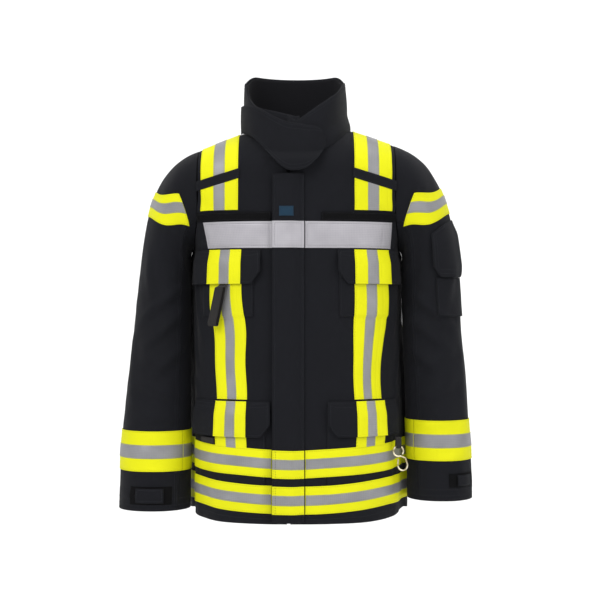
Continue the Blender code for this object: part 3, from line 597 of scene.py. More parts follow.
def sheet(name, surface, look, body_name, thickness, stands_for=(), step=0.004, closed=False, rows=((), ())):
    """A thick cloth over surface(u, v, lift). rows are stitched lines, in metres from u's and v's starts."""
    line = np.linspace(0, 1, 33)
    across = path_length(surface(line, 0 * line + 0.5, 0 * line))
    along = path_length(surface(0 * line + 0.5, line, 0 * line))
    us = places(across, step, rows[0]) if not closed else np.linspace(0, 1, round(across / step) + 1)
    vs = places(along, step, rows[1])
    u, v = np.meshgrid(us, vs)
    edge = np.zeros(u.shape)
    edge[[0, -1], :] = 0.3
    if not closed:
        edge[:, [0, -1]] = 0.3
    groove = np.zeros(u.shape)
    for place, places_of in ((u * across, rows[0]), (v * along, rows[1])):
        for row in places_of:
            groove = np.maximum(groove, np.exp(-(((place - row) / GROOVE) ** 2)))
    outer = surface(u, v, thickness * (1 - edge) - np.minimum(0.0004, thickness * 0.35) * groove)
    inner = surface(u, v, thickness * edge)
    rows_count, columns = u.shape
    index = np.arange(rows_count * columns).reshape(rows_count, columns)
    quads = np.stack([index[:-1, :-1], index[:-1, 1:], index[1:, 1:], index[1:, :-1]], -1).reshape(-1, 4)
    flat = outer.reshape(-1, 3)
    normals = np.cross(flat[quads[:, 2]] - flat[quads[:, 0]], flat[quads[:, 3]] - flat[quads[:, 1]])
    turned = (normals * (flat - inner.reshape(-1, 3))[quads[:, 0]]).sum() < 0
    if turned:
        quads = quads[:, ::-1]
    count = index.size
    borders = [index[0, :], index[-1, ::-1]]
    if not closed:
        borders += [index[::-1, 0], index[:, -1]]
    rims = []
    for border in borders:
        a, b = border[:-1], border[1:]
        rim = np.stack([a, a + count, b + count, b], -1)
        rims.append(rim[:, ::-1] if turned else rim)
    faces = np.concatenate([quads, quads[:, ::-1] + count, *rims])
    vertices = np.concatenate([flat, inner.reshape(-1, 3)])
    uvs = np.stack([u * across, v * along], -1).reshape(-1, 2)
    uvs = np.concatenate([uvs, uvs])
    if closed:
        remap = np.arange(2 * count)
        last = index[:, -1]
        remap[last] = index[:, 0]
        remap[last + count] = index[:, 0] + count
        corner_uvs = uvs[faces]
        faces = remap[faces]
        used, faces = np.unique(faces, return_inverse=True)
        obj = new_piece(name, vertices[used], faces.reshape(-1, 4), look, body_name, stands_for)
        layer = obj.data.uv_layers.new(name="cloth")
        layer.data.foreach_set("uv", corner_uvs.astype(np.float32).ravel())
        return obj
    return new_piece(name, vertices, faces, look, body_name, stands_for, uvs)


def part_of(surface, u0=0.0, u1=1.0, v0=0.0, v1=1.0):
    def inside(u, v, lift):
        return surface(mix(u0, u1, u), mix(v0, v1, v), lift)

    return inside


def over(surface, height):
    """The same surface raised by a height, which may be a function of u and v."""

    def raised(u, v, lift):
        return surface(u, v, (height(u, v) if callable(height) else height) + lift)

    return raised


# ---- Stitching ---------------------------------------------------------------
STITCHES = {}


def seam(surface, start, end, lift=STITCH_LIFT, body_name="root", thread="navy_thread", pitch=0.0042):
    """A row of stitches over a surface, straight in its u and v."""
    t = np.linspace(0, 1, 65)
    path = surface(mix(start[0], end[0], t), mix(start[1], end[1], t), lift + 0 * t)
    reach = np.concatenate([[0], np.cumsum(np.linalg.norm(np.diff(path, axis=0), axis=1))])
    count = max(1, int(reach[-1] / pitch))
    starts = (np.arange(count) + 0.14) / count * reach[-1]
    ends = (np.arange(count) + 0.86) / count * reach[-1]
    marks = []
    for spots in (starts, ends, (starts + ends) / 2):
        at = np.interp(spots, reach, t)
        u = mix(start[0], end[0], at)
        v = mix(start[1], end[1], at)
        marks.append(surface(u, v, lift + 0 * at))
        top = surface(u, v, lift + 0.001 + 0 * at)
    marks.append(unit(top - marks[2]))
    STITCHES.setdefault((body_name, thread), []).append(marks)


def build_stitches():
    for (body_name, thread), rows in STITCHES.items():
        a, b, middle, normal = (np.concatenate([row[i] for row in rows]) for i in range(4))
        side = unit(np.cross(b - a, normal)) * STITCH
        top = normal * STITCH
        vertices = np.stack([a, b, middle + side, middle + top, middle - side, middle - top * 0.5], 1)
        near = [[0, 2, 3], [0, 3, 4], [0, 4, 5], [0, 5, 2]]
        shape = np.array(near + [[1, 3, 2], [1, 4, 3], [1, 5, 4], [1, 2, 5]])
        faces = (np.arange(len(a)) * 6)[:, None, None] + shape
        uvs = vertices.reshape(-1, 3)[:, [0, 2]]
        name = f"stitching_{body_name}_{thread}"
        new_piece(name, vertices, faces.reshape(-1, 3), thread, body_name, (), uvs)


def hem_stitch(surface, size, lift, inset=0.003, sides="lrbt", body_name="root", thread="navy_thread"):
    """Rows of stitching just inside a patch's edges: left, right, bottom and top."""
    du = inset / size[0]
    dv = inset / size[1]
    rows = {
        "l": ((du, dv), (du, 1 - dv)), "r": ((1 - du, dv), (1 - du, 1 - dv)),
        "b": ((du, dv), (1 - du, dv)), "t": ((du, 1 - dv), (1 - du, 1 - dv)),
    }
    for side in sides:
        seam(surface, *rows[side], lift, body_name, thread)


# ---- Shell and liner ---------------------------------------------------------
def front_panel(side):
    """u from the zip to the side seam or armhole, v from the hem to the neckline or shoulder."""

    def surface(u, v, lift):
        top = TOP_H + 0 * u
        for _ in range(3):
            g = mix(girth_at(ZIP_X, top), side * armhole_girth(top), u)
            top = neck_height(bare_body(g, top)[..., 0])
        h = mix(HEM_H, top, 1 - (1 - v) ** 1.2)
        start = girth_at(ZIP_X + side * 0.003, h)
        return body(mix(start, side * armhole_girth(h) - side * 0.001, u), h, lift)

    return surface


def back_panel(u, v, lift):
    top = TOP_H + 0 * u
    for _ in range(3):
        edge = armhole_girth(top, True)
        x = bare_body(mix(edge, 4 - edge, u), top)[..., 0]
        top = neck_height(x, True)
    h = mix(HEM_H, top, 1 - (1 - v) ** 1.2)
    edge = armhole_girth(h, True) + 0.001
    return body(mix(edge, 4 - edge, u), h, lift)


def quilt(width, height, pitch=0.045, puff=0.0016):
    """The inner face's diamonds, as a height over u and v."""

    def inside(u, v):
        a = (u * width + v * height) / pitch * pi
        b = (u * width - v * height) / pitch * pi
        return -puff * np.sqrt(np.abs(np.sin(a) * np.sin(b)))

    return inside


SLEEVE_SEAM = (2.35, 2.35 - 2 * pi + 1.7)  # the under-sleeve's front and back seams, as turns
SLEEVE_RUN = 0.62


def build_shell():
    for name, side in SIDES.items():
        panel = over(front_panel(side), -SHELL)
        sheet(f"front_panel_{name}_cloth", panel, "shell", "root", SHELL, [f"front_panel_{name}"])
        liner = over(part_of(front_panel(side), 0.03, 0.995, 0.012, 0.94), quilt(0.26, 0.8))
        liner = over(liner, -LINER_DEEP)
        sheet(f"liner_front_{name}_quilt", liner, "liner", "root", 0.0025, [f"liner_front_{name}"], 0.006)
        front = over(front_panel(side), 0)
        seam(front, (0.012, 0.004), (0.012, 0.9))
        for low in (0.011, 0.018):
            seam(front, (0.01, low), (0.99, low))
        for off in (0.012, 0.034):
            seam(front, (1 - off, 0.36), (1 - off, 0.985))
        outer = part_of(sleeve_surface(name), SLEEVE_SEAM[1], SLEEVE_SEAM[0], 0, 2)
        under = part_of(sleeve_surface(name), SLEEVE_SEAM[0], SLEEVE_SEAM[1] + 2 * pi, 0, 2)
        outer = over(outer, lambda u, v: 0.0007 * (1 - smooth(u / 0.03) * smooth((1 - u) / 0.03)) - SHELL)
        under = over(under, -SHELL)
        sheet(f"sleeve_outer_{name}_cloth", outer, "shell", "root", SHELL, [f"sleeve_outer_{name}"])
        sheet(f"sleeve_under_{name}_cloth", under, "shell", "root", SHELL, [f"sleeve_under_{name}"])
        for edge in (0.012, 0.03, 0.97, 0.988):
            seam(outer, (edge, 0.06), (edge, 0.985), SHELL + 0.0002)
        for low in (0.975, 0.988):
            seam(sleeve_surface(name), (0, 2 * low), (2 * pi, 2 * low))
        lining = part_of(sleeve_surface(name), 0, 2 * pi, 0.16, 1.97)
        lining = over(over(lining, quilt(0.34, SLEEVE_RUN)), -0.0102)
        node = f"liner_sleeve_{name}"
        sheet(f"{node}_quilt", lining, "liner", "root", 0.0022, [node], 0.006, True)
    sheet("back_panel_cloth", over(back_panel, -SHELL), "shell", "root", SHELL, ["back_panel"])
    liner = over(part_of(back_panel, 0.005, 0.995, 0.012, 0.95), quilt(0.52, 0.8))
    sheet("liner_back_quilt", over(liner, -LINER_DEEP), "liner", "root", 0.0025, ["liner_back"], 0.006)
    for low in (0.011, 0.018):
        seam(back_panel, (0.005, low), (0.995, low))
    for edge in (0.008, 0.992):
        seam(back_panel, (edge, 0.36), (edge, 0.985))
        seam(back_panel, (edge, 0.01), (edge, 0.36))


def sleeve_surface(name):
    def surface(turn, s, lift):
        return sleeve(name, turn, s, lift)

    return surface


# ---- Collar ------------------------------------------------------------------
def throat(u, v, lift):
    """The tongue that closes the throat: u along it, v up it, with a round free end."""
    neck_x = NECK_HALF * np.sin(mix(-1.3, 0.57, u))
    x = neck_x * (1 + 0.09 * np.maximum(0, -neck_x / NECK_HALF))
    along = (x + 0.103) / 0.156
    end = np.sqrt(np.maximum(0.03, 1 - np.maximum(0, (along - 0.55) / 0.45) ** 2.4))
    middle = mix(0.0195, -0.038, smooth(along * 1.6)) + 0.012 * smooth((along - 0.75) / 0.25)
    half = mix(0.0258, 0.044, smooth(along * 1.7)) * end
    z = middle + mix(-half, half, v)
    neck = SEAM_Y - bare_body(girth_at(neck_x, 0 * neck_x), neck_height(neck_x))[..., 1]
    gap = 0.006 + 0.0115 * smooth((-0.03 - z) / 0.035) * smooth((x + 0.075) / 0.02)
    out = np.maximum(neck + 0.0125, body_depth(x, z) + gap)
    wave = 0.0012 * np.sin(u * 9 + 1) * np.sin(pi * v) + 0.0016 * np.sin(pi * v) * np.sin(pi * u)
    turn = x / NECK_HALF
    push = np.asarray(lift) + wave
    return np.stack([x + push * 0.6 * turn, SEAM_Y - out - push, z + NECK_DROP], -1)


def build_collar():
    shell = over(part_of(collar, 0, 1, -0.1, 1), -SHELL)
    sheet("collar_outer_cloth", shell, "shell", "root", SHELL, ["collar_outer"])
    lining = over(part_of(collar, 0, 1, 0.05, 0.97), -0.0058)
    sheet("collar_lining_cloth", lining, "liner", "root", 0.0014, ["collar_lining"], 0.005)
    for rise in (0.955, 0.9):
        seam(collar, (0.005, rise), (0.995, rise))
    seam(collar, (0.006, 0.05), (0.006, 0.95))
    seam(collar, (0.994, 0.05), (0.994, 0.95))
    sheet("throat_flap_cloth", throat, "shell", "throat_flap", FLAP, ["throat_flap"], 0.003)
    for inset in (0.045, 0.12):
        seam(throat, (0.01, inset), (0.96, inset), FLAP + 0.0002, "throat_flap")
        seam(throat, (0.01, 1 - inset), (0.96, 1 - inset), FLAP + 0.0002, "throat_flap")


# ---- Front of the coat -------------------------------------------------------
POCKETS = {
    "chest": {
        "pocket_x": (0.078, 0.172), "pocket_h": (-0.348, -0.238), "flap_h": (-0.288, -0.2245),
        "flap_x": {"right": (0.065, 0.187), "left": (0.075, 0.187)},
        "stripe_x": {"right": (0.0995, 0.158), "left": (0.105, 0.168)},
    },
    "lower": {
        "pocket_x": (0.056, 0.18), "pocket_h": (-0.69, -0.512), "flap_h": (-0.568, -0.502),
        "flap_x": {"right": (0.0475, 0.186), "left": (0.057, 0.184)},
        "stripe_x": {"right": (0.0905, 0.1455), "left": (0.108, 0.16)},
    },
}
POCKET_DEEP = 0.0034


def box_step(value, low, high, soft):
    return smooth((value - low) / soft + 0.5) * smooth((high - value) / soft + 0.5)


def pocket_cover(x, h, soft=0.006):
    """How high the pockets stand under whatever is sewn across them."""
    total = 0
    for place in POCKETS.values():
        wide = box_step(np.abs(x), *place["pocket_x"], soft)
        total = total + wide * box_step(h, *place["pocket_h"], soft)
    return total * POCKET_DEEP


def front_patch(x0, x1, h0, h1, cut=None, covers=False):
    """A patch on the front. cut(u, v) shapes its corners; covers lays it over the pockets."""

    def surface(u, v, lift):
        if cut is not None:
            u, v = cut(u, v)
        h = mix(h0, h1, v)
        left = x0(h) if callable(x0) else x0
        right = x1(h) if callable(x1) else x1
        x = mix(left, right, u)
        lift = np.asarray(lift) + (pocket_cover(x, h) if covers else 0)
        return body(girth_at(x, h), h, lift)

    return surface


def mirrored(side, near, far):
    return (near, far) if side > 0 else (-far, -near)


def tape(name, surface, size, body_name, silver, stands_for=(), upright=True, lift=LOW, sides="lrbt"):
    """Lime tape with a silver stripe sewn along its middle, and rows of stitching along its edges."""
    inset = 0.003
    rows = ((inset, size[0] - inset), (inset, size[1] - inset))
    low = over(surface, lift)
    sheet(f"{name}_lime", low, "lime", body_name, TAPE, stands_for, rows=rows)
    if upright:
        stripe = part_of(low, silver[0], silver[1], 0.0008, 0.9992)
        lines = (((silver[0], 0.003), (silver[0], 0.997)), ((silver[1], 0.003), (silver[1], 0.997)))
        nudge = 0.0014 / size[0]
        lines = [((a[0] + s * nudge, a[1]), (b[0] + s * nudge, b[1])) for (a, b), s in zip(lines, (1, -1))]
    else:
        stripe = part_of(low, 0.0008, 0.9992, silver[0], silver[1])
        nudge = 0.0014 / size[1]
        lines = [((0.003, silver[0] + nudge), (0.997, silver[0] + nudge))]
        lines.append(((0.003, silver[1] - nudge), (0.997, silver[1] - nudge)))
    sheet(f"{name}_silver", over(stripe, TAPE), "silver", body_name, 0.0005)
    for start, end in lines:
        seam(low, start, end, TAPE + 0.0006, body_name, thread="lime_thread")
    hem_stitch(low, size, TAPE, inset * 0.7, sides, body_name=body_name, thread="lime_thread")


def storm_lift(u, v):
    """The storm flap is sewn at u = 1 and stands clear of the zip, and its free edge waves a little."""
    rise = smooth((1 - u) / 0.42)
    low = smooth((0.17 - v) / 0.1)
    return 0.0012 + (0.0068 + 0.0014 * low) * rise + 0.0011 * np.sin(v * 17 + 1) * (1 - smooth(u / 0.5))


def build_closure():
    storm = over(front_patch(*STORM_X, *STORM_H), storm_lift)
    rows = ((0.004, 0.053), ())
    sheet("storm_flap_cloth", storm, "shell", "storm_flap", FLAP, ["storm_flap"], rows=rows)
    for u in (0.07, 0.93, 0.975):
        seam(storm, (u, 0.004), (u, 0.996), FLAP + 0.0001, "storm_flap")
    on_storm = over(storm, FLAP)
    span = STORM_H[1] - STORM_H[0]

    def storm_part(low, high):
        return part_of(on_storm, 0.0, 0.998, (low - STORM_H[0]) / span, (high - STORM_H[0]) / span)

    band = storm_part(*CHEST_BAND_H)
    silver_band("storm_flap_trim_chest", band, (0.0555, 0.049), "storm_flap", ["storm_flap_trim_chest"])
    for place, heights in (("upper", UPPER_HEM_H), ("lower", LOWER_HEM_H)):
        part = storm_part(*heights)
        node = f"storm_flap_trim_{place}"
        tape(node, part, (0.0555, heights[1] - heights[0]), "storm_flap", (0.32, 0.68), [node], False)
        seam(part, (0.1, 0.02), (0.1, 0.98), TAPE + LOW + 0.0006, "storm_flap")
    build_label(on_storm)
    build_zip()


def build_label(on_storm):
    span = STORM_H[1] - STORM_H[0]
    width = STORM_X[1] - STORM_X[0]
    middle = (-0.018 - STORM_X[0]) / width
    high = (-0.155 - STORM_H[0]) / span
    half_u = 0.013 / width
    half_v = 0.009 / span
    label = part_of(on_storm, middle - half_u, middle + half_u, high - half_v, high + half_v)
    label = over(label, lambda u, v: 0.0004 + 0.0006 * np.sin(pi * u) * np.sin(pi * v))
    sheet("label_patch_woven", label, "label", "storm_flap", 0.0009, ["label_patch"], 0.002)
    hem_stitch(label, (0.026, 0.018), 0.0009, 0.0014, body_name="storm_flap")


def silver_band(name, surface, size, body_name, stands_for):
    """The chest band: silver cloth all over, with a folded border sewn down."""
    inset = 0.004
    rows = ((inset, size[0] - inset), (inset, size[1] - inset))
    sheet(f"{name}_cloth", over(surface, LOW), "bright_silver", body_name, 0.0014, stands_for, rows=rows)
    hem_stitch(over(surface, LOW), size, 0.0014, 0.004, body_name=body_name, thread="silver_thread")


def build_zip():
    """Zip tapes with moulded teeth that mesh along the middle, a slider and its pull."""
    high, low = -0.09, -0.70
    for name, side in SIDES.items():
        near = ZIP_X + side * 0.0022
        far = ZIP_X + side * 0.014
        strip = front_patch(*sorted((near, far)), low, high)
        sheet(f"zip_tape_{name}_cloth", over(strip, 0.0002), "zip_tape", "root", 0.0012, [f"zip_tape_{name}"])
        line = front_patch(ZIP_X + side * 0.0014, ZIP_X + side * 0.0014, low, high)
        pitch = 0.0028
        count = int((high - low) / pitch)
        v = (np.arange(count) + (0.25 if side > 0 else 0.75)) / count
        at = line(0 * v, v, 0.0012 + 0 * v)
        out = unit(line(0 * v, v, 0.0022 + 0 * v) - at)
        up = np.array([0, 0, 1.0])
        across = unit(np.cross(up, out))
        teeth = []
        for dx, dy, dz in np.array(np.meshgrid((-1, 1), (-1, 1), (-1, 1))).T.reshape(-1, 3):
            size = np.array([0.0019, 0.0009, 0.00075 if dx * side < 0 else 0.0005])
            teeth.append(at + across * dx * size[0] + out * dy * size[1] + up * dz * size[2])
        block = np.array([[0, 1, 3, 2], [4, 6, 7, 5], [0, 4, 5, 1], [2, 3, 7, 6], [0, 2, 6, 4], [1, 5, 7, 3]])
        faces = (np.arange(count) * 8)[:, None, None] + block
        vertices = np.stack(teeth, 1)
        obj = new_piece(f"zip_teeth_{name}", vertices, faces.reshape(-1, 4), "teeth", "root")
        bevel = obj.modifiers.new("round", "BEVEL")
        bevel.width = 0.00025
        bevel.segments = 2
    for node in ("zip_slider", "zip_pull"):
        give(node, "teeth")


def give(node, look):
    """A CAD node keeps its shape and takes a finished material."""
    obj = bpy.data.objects[node]
    obj.data.materials.clear()
    obj.data.materials.append(LOOKS[look])


# ---- Pockets -----------------------------------------------------------------
def chamfer(side, size, width=0.017, height=0.024):
    """Cuts a flap's inner lower corner."""

    def cut(u, v):
        from_inner = (u if side > 0 else 1 - u) * size[0]
        rise = height / size[1] * np.maximum(0, 1 - from_inner / width)
        return u, mix(rise, 1, v)

    return cut


def build_pockets():
    for name, side in SIDES.items():
        for place, spans in POCKETS.items():
            near, far = mirrored(side, *spans["pocket_x"])
            low, high = spans["pocket_h"]
            size = (far - near, high - low)

            def bulge(u, v, size=size):
                edge = smooth(np.minimum(u, 1 - u) * size[0] / 0.006)
                edge = edge * smooth(np.minimum(v, 1 - v) * size[1] / 0.006)
                return (POCKET_DEEP - FLAP) * edge + 0.0006 * np.sin(pi * u) * np.sin(pi * v)

            pocket = over(front_patch(near, far, low, high), bulge)
            cad = f"{place}_pocket_{name}"
            sheet(f"{cad}_cloth", over(pocket, 0.0002), "shell", "root", FLAP - 0.0004, [cad])
            hem_stitch(pocket, size, FLAP, 0.003, "lrb")
            build_flap(name, side, place, spans)


def build_flap(name, side, place, spans):
    near, far = mirrored(side, *spans["flap_x"][name])
    low, high = spans["flap_h"]
    size = (far - near, high - low)
    phase = 2 if side > 0 else 0.4
    body_name = f"{place}_flap_{name}"

    def lift(u, v):
        down = 1 - v
        ripple_low = 0.0011 * np.sin(u * 7 + phase) * down**2
        return 0.001 + 0.0048 * smooth(down / 0.45) + 0.0018 * down**2 + ripple_low

    cut = chamfer(side, size)
    flap = over(front_patch(near, far, low, high, cut), lift)
    rows = ((), (0.004,))
    sheet(f"{body_name}_cloth", flap, "shell", body_name, FLAP, [body_name], 0.0035, rows=rows)
    top = over(flap, FLAP)
    hem_stitch(top, size, 0, 0.0045, body_name=body_name)
    seam(top, (0.03, 1 - 0.011 / size[1]), (0.97, 1 - 0.011 / size[1]), 0, body_name)
    edges = mirrored(side, *spans["stripe_x"][name])
    u0, u1 = ((edge - near) / size[0] for edge in edges)
    flat = over(front_patch(near, far, low, high), lambda u, v: lift(u, v) + FLAP)
    strip = part_of(flat, u0, u1, 0.004, 0.998)
    tape(f"{place}_flap_trim_{name}", strip, (edges[1] - edges[0], size[1]), body_name, (0.35, 0.65),
         [f"{place}_flap_trim_{name}"], sides="lr")


def build_sleeve_pocket():
    surface = sleeve_surface("left")
    pocket = over(part_of(surface, 0.35, 1.48, 1.2, 1.03), lambda u, v: 0.0012 * np.sin(pi * u))
    sheet("sleeve_pocket_cloth", over(pocket, 0.0003), "shell", "root", 0.0034, ["sleeve_pocket"])
    hem_stitch(pocket, (0.073, 0.075), 0.0038, 0.003, "lrb")

    def rounded(u, v, lift):
        corner = 0.2 * np.maximum(0, 1 - np.minimum(u, 1 - u) / 0.2) ** 2
        return part_of(surface, 0.3, 1.56, 1.03, 0.74)(u, mix(corner, 1, v), lift)

    flap = over(rounded, lambda u, v: 0.002 + 0.0052 * smooth((1 - v) / 0.4))
    node = "sleeve_pocket_flap"
    sheet(f"{node}_cloth", flap, "shell", node, FLAP, [node], 0.0035)
    hem_stitch(flap, (0.08, 0.08), FLAP, 0.0045, body_name=node)
    hem_stitch(flap, (0.08, 0.08), FLAP, 0.009, "lrb", body_name=node)


# ---- Reflective trim ---------------------------------------------------------
def build_front_trim():
    for name, side in SIDES.items():
        start, end, slant = {"right": (0.038, 0.172, 0.009), "left": (0.0158, 0.177, 0.003)}[name]

        def outer_end(h, side=side, end=end, slant=slant):
            return side * (end - slant * (CHEST_BAND_H[1] - h) / 0.049)

        band = front_patch(*((start, outer_end) if side > 0 else (outer_end, -start)), *CHEST_BAND_H)
        silver_band(f"chest_band_{name}", band, (end - start, 0.049), "root", [f"chest_band_{name}"])
        near, far = mirrored(side, 0.046, 0.1835)
        strip = front_patch(near, far, -0.1715, -0.156)
        node = f"loop_strip_{name}"
        sheet(f"{node}_pile", over(strip, LOW), "loop", "root", 0.0024, [node], 0.003)
        hem_stitch(over(strip, LOW), (0.137, 0.0155), 0.0024, 0.0018)
        chest = POCKETS["chest"]["stripe_x"][name]
        lower = POCKETS["lower"]["stripe_x"][name]

        bow, deepest = {"right": ((0.005, 0.002), -0.37), "left": ((0.004, 0.008), -0.445)}[name]

        def edge(i, chest=chest, lower=lower, side=side, bow=bow, deepest=deepest):
            def x(h):
                t = smooth((h + 0.5) / 0.2)
                pulled = bow[i] * np.exp(-(((h - deepest) / 0.055) ** 2))
                return side * (mix(lower[i], chest[i], t) - pulled + 0.0008 * np.sin(h * 55 + i))

            return x

        edges = (edge(0), edge(1)) if side > 0 else (edge(1), edge(0))
        stripe = front_patch(*edges, -0.499, -0.286, covers=True)
        node = f"vertical_trim_{name}"
        tape(node, stripe, (0.058, 0.213), "root", (0.345, 0.645), [node], sides="lr")
        low = front_patch(*edges, -0.5925, -0.5635, covers=True)
        tape(f"pocket_trim_{name}", low, (0.055, 0.029), "root", (0.35, 0.65), sides="lr")


def build_shoulders():
    """Each shoulder's stripe is two tapes with a strap sewn slantwise between them."""
    for name, side in SIDES.items():
        def over_shoulder(u, v, lift, side=side):
            x = side * mix(0.1065, 0.176, u)
            path = v + 0 * u
            h = np.where(path <= TOP_H, path, 2 * TOP_H - path)
            g = girth_at(x, h)
            g = np.where(path <= TOP_H, g, np.where(g > 0, 2 - g, -2 - g))
            return body(g, h, lift)

        def block(start, end, slant_start, slant_end, over_shoulder=over_shoulder):
            def surface(u, v, lift):
                low = start - slant_start * u
                high = end - slant_end * u
                return over_shoulder(u, mix(low, high, v), lift)

            return surface

        lower = block(-0.152, -0.088, 0, 0.021)
        upper = block(-0.066, TOP_H + 0.1, 0.021, 0)
        node = f"shoulder_trim_{name}"
        tape(node, upper, (0.07, 0.3), "root", (0.355, 0.65), [node], sides="lr")
        tape(f"shoulder_trim_low_{name}", lower, (0.07, 0.055), "root", (0.355, 0.65), sides="lr")
        strap = part_of(block(-0.0885, -0.0655, 0.021, 0.021), -0.04, 1.12)
        sheet(f"shoulder_strap_{name}", over(strap, 0.0008), "shell", "root", 0.0022)
        hem_stitch(over(strap, 0.0008), (0.08, 0.021), 0.0022, 0.0025)


def around(name, heights):
    """A band sewn from one edge of the storm flap round the back to the other."""
    middle = (heights[0] + heights[1]) / 2
    start = float(girth_at(STORM_X[1] + 0.0015, middle))
    stop = 4 + float(girth_at(STORM_X[0] - 0.0015, middle))

    def surface(u, v, lift):
        g = mix(start, stop, u)
        h = mix(*heights, v) + 0.0007 * np.sin(g * 9 + heights[0] * 40)
        x = bare_body(g, h)[..., 0]
        front = np.where((g < 1) | (g > 3), 1, 0)
        return body(g, h, np.asarray(lift) + pocket_cover(x, h, 0.012) * front)

    size = (1.02, heights[1] - heights[0])
    tape(name, surface, size, "root", (0.315, 0.685), [name], False, sides="bt")


def build_sleeve_trim():
    cuffs = {"right": (-0.637, -0.562), "left": (-0.617, -0.542)}
    tabs = {"right": (1.12, 1.88, 1.965, 1.905), "left": (0.5, 1.12, 1.935, 1.888)}
    for name in SIDES:
        surface = sleeve_surface(name)

        def upper(u, v, lift, surface=surface):
            end = mix(2.35, 1.78, v)
            turn = mix(-1.3, end, u)
            rise = np.maximum((turn - 0.6) / (end - 0.6), 0) ** mix(4.3, 3.1, v)
            return surface(turn, mix(mix(0.7, 0.52, v), mix(0.18, 0.26, v), rise), lift)

        node = f"upper_sleeve_band_{name}"
        tape(node, upper, (0.26, 0.05), "root", (0.36, 0.7), [node], False)
        low, high = (sleeve_s(name, z) for z in cuffs[name])
        band = part_of(surface, 2.5, 2.5 + 2 * pi - 0.012, low, high)
        node = f"cuff_band_{name}"
        tape(node, band, (0.36, 0.076), "root", (0.32, 0.655), [node], False, sides="bt")
        first, last, low, high = tabs[name]
        tab = over(part_of(surface, first, last, low, high), lambda u, v: 0.0012 + 0.002 * smooth(u / 0.5))
        sheet(f"cuff_tab_{name}_cloth", tab, "shell", f"cuff_tab_{name}", FLAP, [f"cuff_tab_{name}"], 0.003)
        hem_stitch(tab, (0.045, 0.023), FLAP, 0.0028, body_name=f"cuff_tab_{name}")
        patch = part_of(surface, first - 0.2, last + 0.25, low + 0.007, high - 0.007)
        sheet(f"cuff_patch_{name}", over(patch, 0.0002), "loop", "root", 0.0009, (), 0.003)


def build_back_band():
    def surface(u, v, lift):
        h = mix(*CHEST_BAND_H, v)
        edge = armhole_girth(h, True) + 0.2
        return body(mix(edge, 4 - edge, u), h, lift)

    silver_band("chest_band_back", surface, (0.35, 0.049), "root", ["chest_band_back"])


# ---- Loops and the snap hook -------------------------------------------------
def local_frame(x, h, lift):
    """A point over the body's front with its level tangent and its outward normal, as in the CAD model."""
    g = girth_at(x, h)
    here = bare_body(g, h) + body_normal(g, h) * lift
    out = body_normal(g, h)
    out[2] = 0
    out = unit(out)
    return here, np.cross([0, 0, 1.0], out), out


def placed(frame_at, across, out, up):
    here, tangent, normal = frame_at
    return here + tangent * across + normal * out + np.array([0, 0, up])


def rounded_path(points, count):
    """A smooth curve through points, at even steps."""
    points = np.array(points)
    reach = np.concatenate([[0], np.cumsum(np.linalg.norm(np.diff(points, axis=0), axis=1))])
    slopes = np.gradient(points, reach, axis=0)
    spots = np.linspace(0, reach[-1], count)
    i = np.clip(np.searchsorted(reach, spots, side="right") - 1, 0, len(points) - 2)
    width = (reach[i + 1] - reach[i])[:, None]
    t = ((spots - reach[i]) / (reach[i + 1] - reach[i]))[:, None]
    a, b = points[i], points[i + 1]
    cubic = a * (2 * t**3 - 3 * t**2 + 1) + b * (3 * t**2 - 2 * t**3)
    return cubic + slopes[i] * width * (t**3 - 2 * t**2 + t) + slopes[i + 1] * width * (t**3 - t**2)


def strap(name, centres, width_axis, width, thickness, body_name, stands_for, count=60):
    """Flat webbing along a smooth curve through its centres."""
    path = rounded_path(centres, count)
    along = unit(np.gradient(path, axis=0))
    half = unit(np.array(width_axis, float)) * width / 2
    out = unit(np.cross(along, half))

    def surface(u, v, lift):
        at = v * (count - 1)
        i = np.clip(at.astype(int), 0, count - 2)
        t = (at - i)[..., None]
        point = path[i] * (1 - t) + path[i + 1] * t
        return point + half * (2 * u - 1)[..., None] + out[i] * np.asarray(lift)[..., None]

    sheet(name, surface, "webbing", body_name, thickness, stands_for, 0.0022)
    return surface


